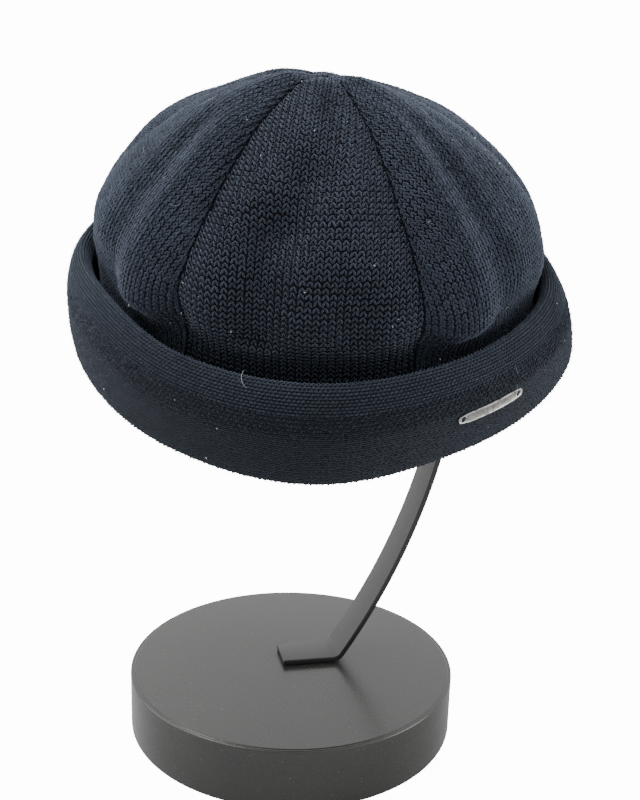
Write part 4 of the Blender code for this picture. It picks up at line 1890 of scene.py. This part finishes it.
    def arm(self) -> bpy.types.Object:
        """Make the bent flat bar with softly rounded edges and ends.

        Returns:
            The object.
        """
        line = self.arm_line()
        stations = [(line[0], share, shift) for share, shift in self.end_round]
        stations += [(point, 1.0, 0.0) for point in line[1:-1]]
        stations += [(line[-1], share, -shift) for share, shift in reversed(self.end_round)]
        points = [point for station in stations for point in self.arm_ring(*station)]
        section = self.arm_section()
        count = len(section)
        pairs = [(k, (k + 1) % count) for k in range(count)]
        faces = [
            (low + a, low + count + a, low + count + b, low + b)
            for low in range(0, len(points) - count, count) for a, b in pairs]
        faces += [tuple(range(count)), tuple(range(len(points) - 1, len(points) - 1 - count, -1))]
        piece = add_piece("arm_bar", np.array(points) * MM, faces, self.arm_paint.build())
        # painted shade: the bar's two narrow edges carry a tone of 1, which the paint darkens
        edge = piece.data.attributes.new(TONE, "FLOAT", "POINT")
        narrow = [float(abs(w) > self.arm_width / 2 - 0.6 * self.edge_round) for w, _ in section]
        edge.data.foreach_set("value", narrow * len(stations))
        bm = bmesh.new()
        bm.from_mesh(piece.data)
        bmesh.ops.recalc_face_normals(bm, faces=bm.faces)
        bm.to_mesh(piece.data)
        bm.free()
        piece.data.set_sharp_from_angle(angle=math.radians(self.sharp))
        return piece

    def build(self) -> None:
        """Make the three pieces."""
        rest_on_frame(self.base(), Slot.STAND, "stand_base")
        rest_on_frame(self.arm(), Slot.ARM, "stand_arm")
        rest_on_frame(self.head_rest(), Slot.REST, "head_rest")


# ---- studio -----------------------------------------------------------------------------


@dataclass
class Studio:
    """Pale floor, soft lights and the camera."""

    camera_place: tuple[float, float, float] = (0.0, -430.0, 261.0)
    pitch: float = 14.0               # degrees down
    pan: float = 1.3
    roll: float = 1.68
    focal_length: float = 45.0
    sensor: float = 36.0              # on the image's longer side
    nearest: float = 10.0             # distance from which the camera sees
    floor_size: float = 8000.0
    sky: float = 1.6                  # brightness of the room above, behind and beside the object
    dim: float = 0.05                 # and in front of it
    white: float = 14.0               # of the backdrop as seen
    behind: float = 0.55              # how much the room brightens towards the back
    beside: float = 0.95              # and towards both sides
    reach: Pair = (-0.50, 0.90)       # of that brightening, from dim to sky
    lights: tuple = (
        # name, place, aimed at, width, height, watts
        ("key", (-560.0, 60.0, 1350.0), (0.0, 0.0, 200.0), 700.0, 700.0, 14.0),
        ("left", (-900.0, 40.0, 320.0), (0.0, 0.0, 180.0), 600.0, 900.0, 3.8),
        ("right", (900.0, -160.0, 120.0), (0.0, 0.0, 150.0), 500.0, 900.0, 8.0),
    )

    def camera(self) -> None:
        """Set the camera at the photograph's viewing angle."""
        pitch, pan, roll = (math.radians(v) for v in (self.pitch, self.pan, self.roll))
        ahead = Vector(
            (math.sin(pan) * math.cos(pitch), math.cos(pan) * math.cos(pitch), -math.sin(pitch)))
        level = Vector((math.cos(pan), -math.sin(pan), 0.0))
        upright = level.cross(ahead)
        right = math.cos(roll) * level + math.sin(roll) * upright
        up = -math.sin(roll) * level + math.cos(roll) * upright
        data = bpy.data.cameras.new("camera")
        data.sensor_width = self.sensor
        data.lens = self.focal_length
        data.clip_start = self.nearest * MM
        item = add_object("camera", data)
        turn = Matrix((right, up, -ahead)).transposed().to_4x4()
        item.matrix_world = Matrix.Translation(Vector(self.camera_place) * MM) @ turn
        bpy.context.scene.camera = item

    def floor(self) -> None:
        """Lay the pale floor."""
        half = self.floor_size / 2 * MM
        corners = np.array(
            [(-half, -half, 0.0), (half, -half, 0.0), (half, half, 0.0), (-half, half, 0.0)])
        add_piece("floor", corners, [(0, 1, 2, 3)], FloorFinish().build())

    def room(self) -> None:
        """Whiten the surroundings as the camera sees them, and dim them for the object."""
        world = bpy.data.worlds.new("studio")
        world.use_nodes = True
        world.node_tree.nodes.clear()
        graph = Graph(world.node_tree)
        toward = graph.node("ShaderNodeTexCoord", output="Generated")
        side = graph.maths("ABSOLUTE", graph.part(toward, "X"))
        open_to = (
            graph.part(toward, "Y") * self.behind + side * self.beside + graph.part(toward, "Z"))
        room = graph.spread(open_to, (*self.reach, self.dim, self.sky))
        seen = graph.node("ShaderNodeLightPath", output="Is Camera Ray")
        strength = room + seen * (self.white - room)
        glow = graph.node(
            "ShaderNodeBackground", None, {"Color": (*WHITE, 1.0), "Strength": strength})
        output = world.node_tree.nodes.new("ShaderNodeOutputWorld")
        graph.feed(output.inputs["Surface"], glow)
        bpy.context.scene.world = world

    def hang(self) -> None:
        """Hang the soft lights."""
        for name, place, aim, width, height, watts in self.lights:
            data = bpy.data.lights.new(name, "AREA")
            data.shape = "RECTANGLE"
            data.size, data.size_y, data.energy = width * MM, height * MM, watts
            item = add_object(name, data)
            item.location = Vector(place) * MM
            toward = Vector(aim) - Vector(place)
            item.rotation_euler = toward.to_track_quat("-Z", "Y").to_euler()

    def build(self) -> None:
        """Set up the whole studio."""
        self.camera()
        self.floor()
        self.room()
        self.hang()


def main() -> None:
    """Build every piece and the studio."""
    logging.basicConfig(level=logging.INFO, format="%(message)s")
    form, tree = CapForm(), StitchTree()
    Crown(form, tree).build()
    Cuff(form, tree).build()
    Badge(form).build()
    Stand().build()
    Studio().build()


if __name__ == "__main__":
    main()
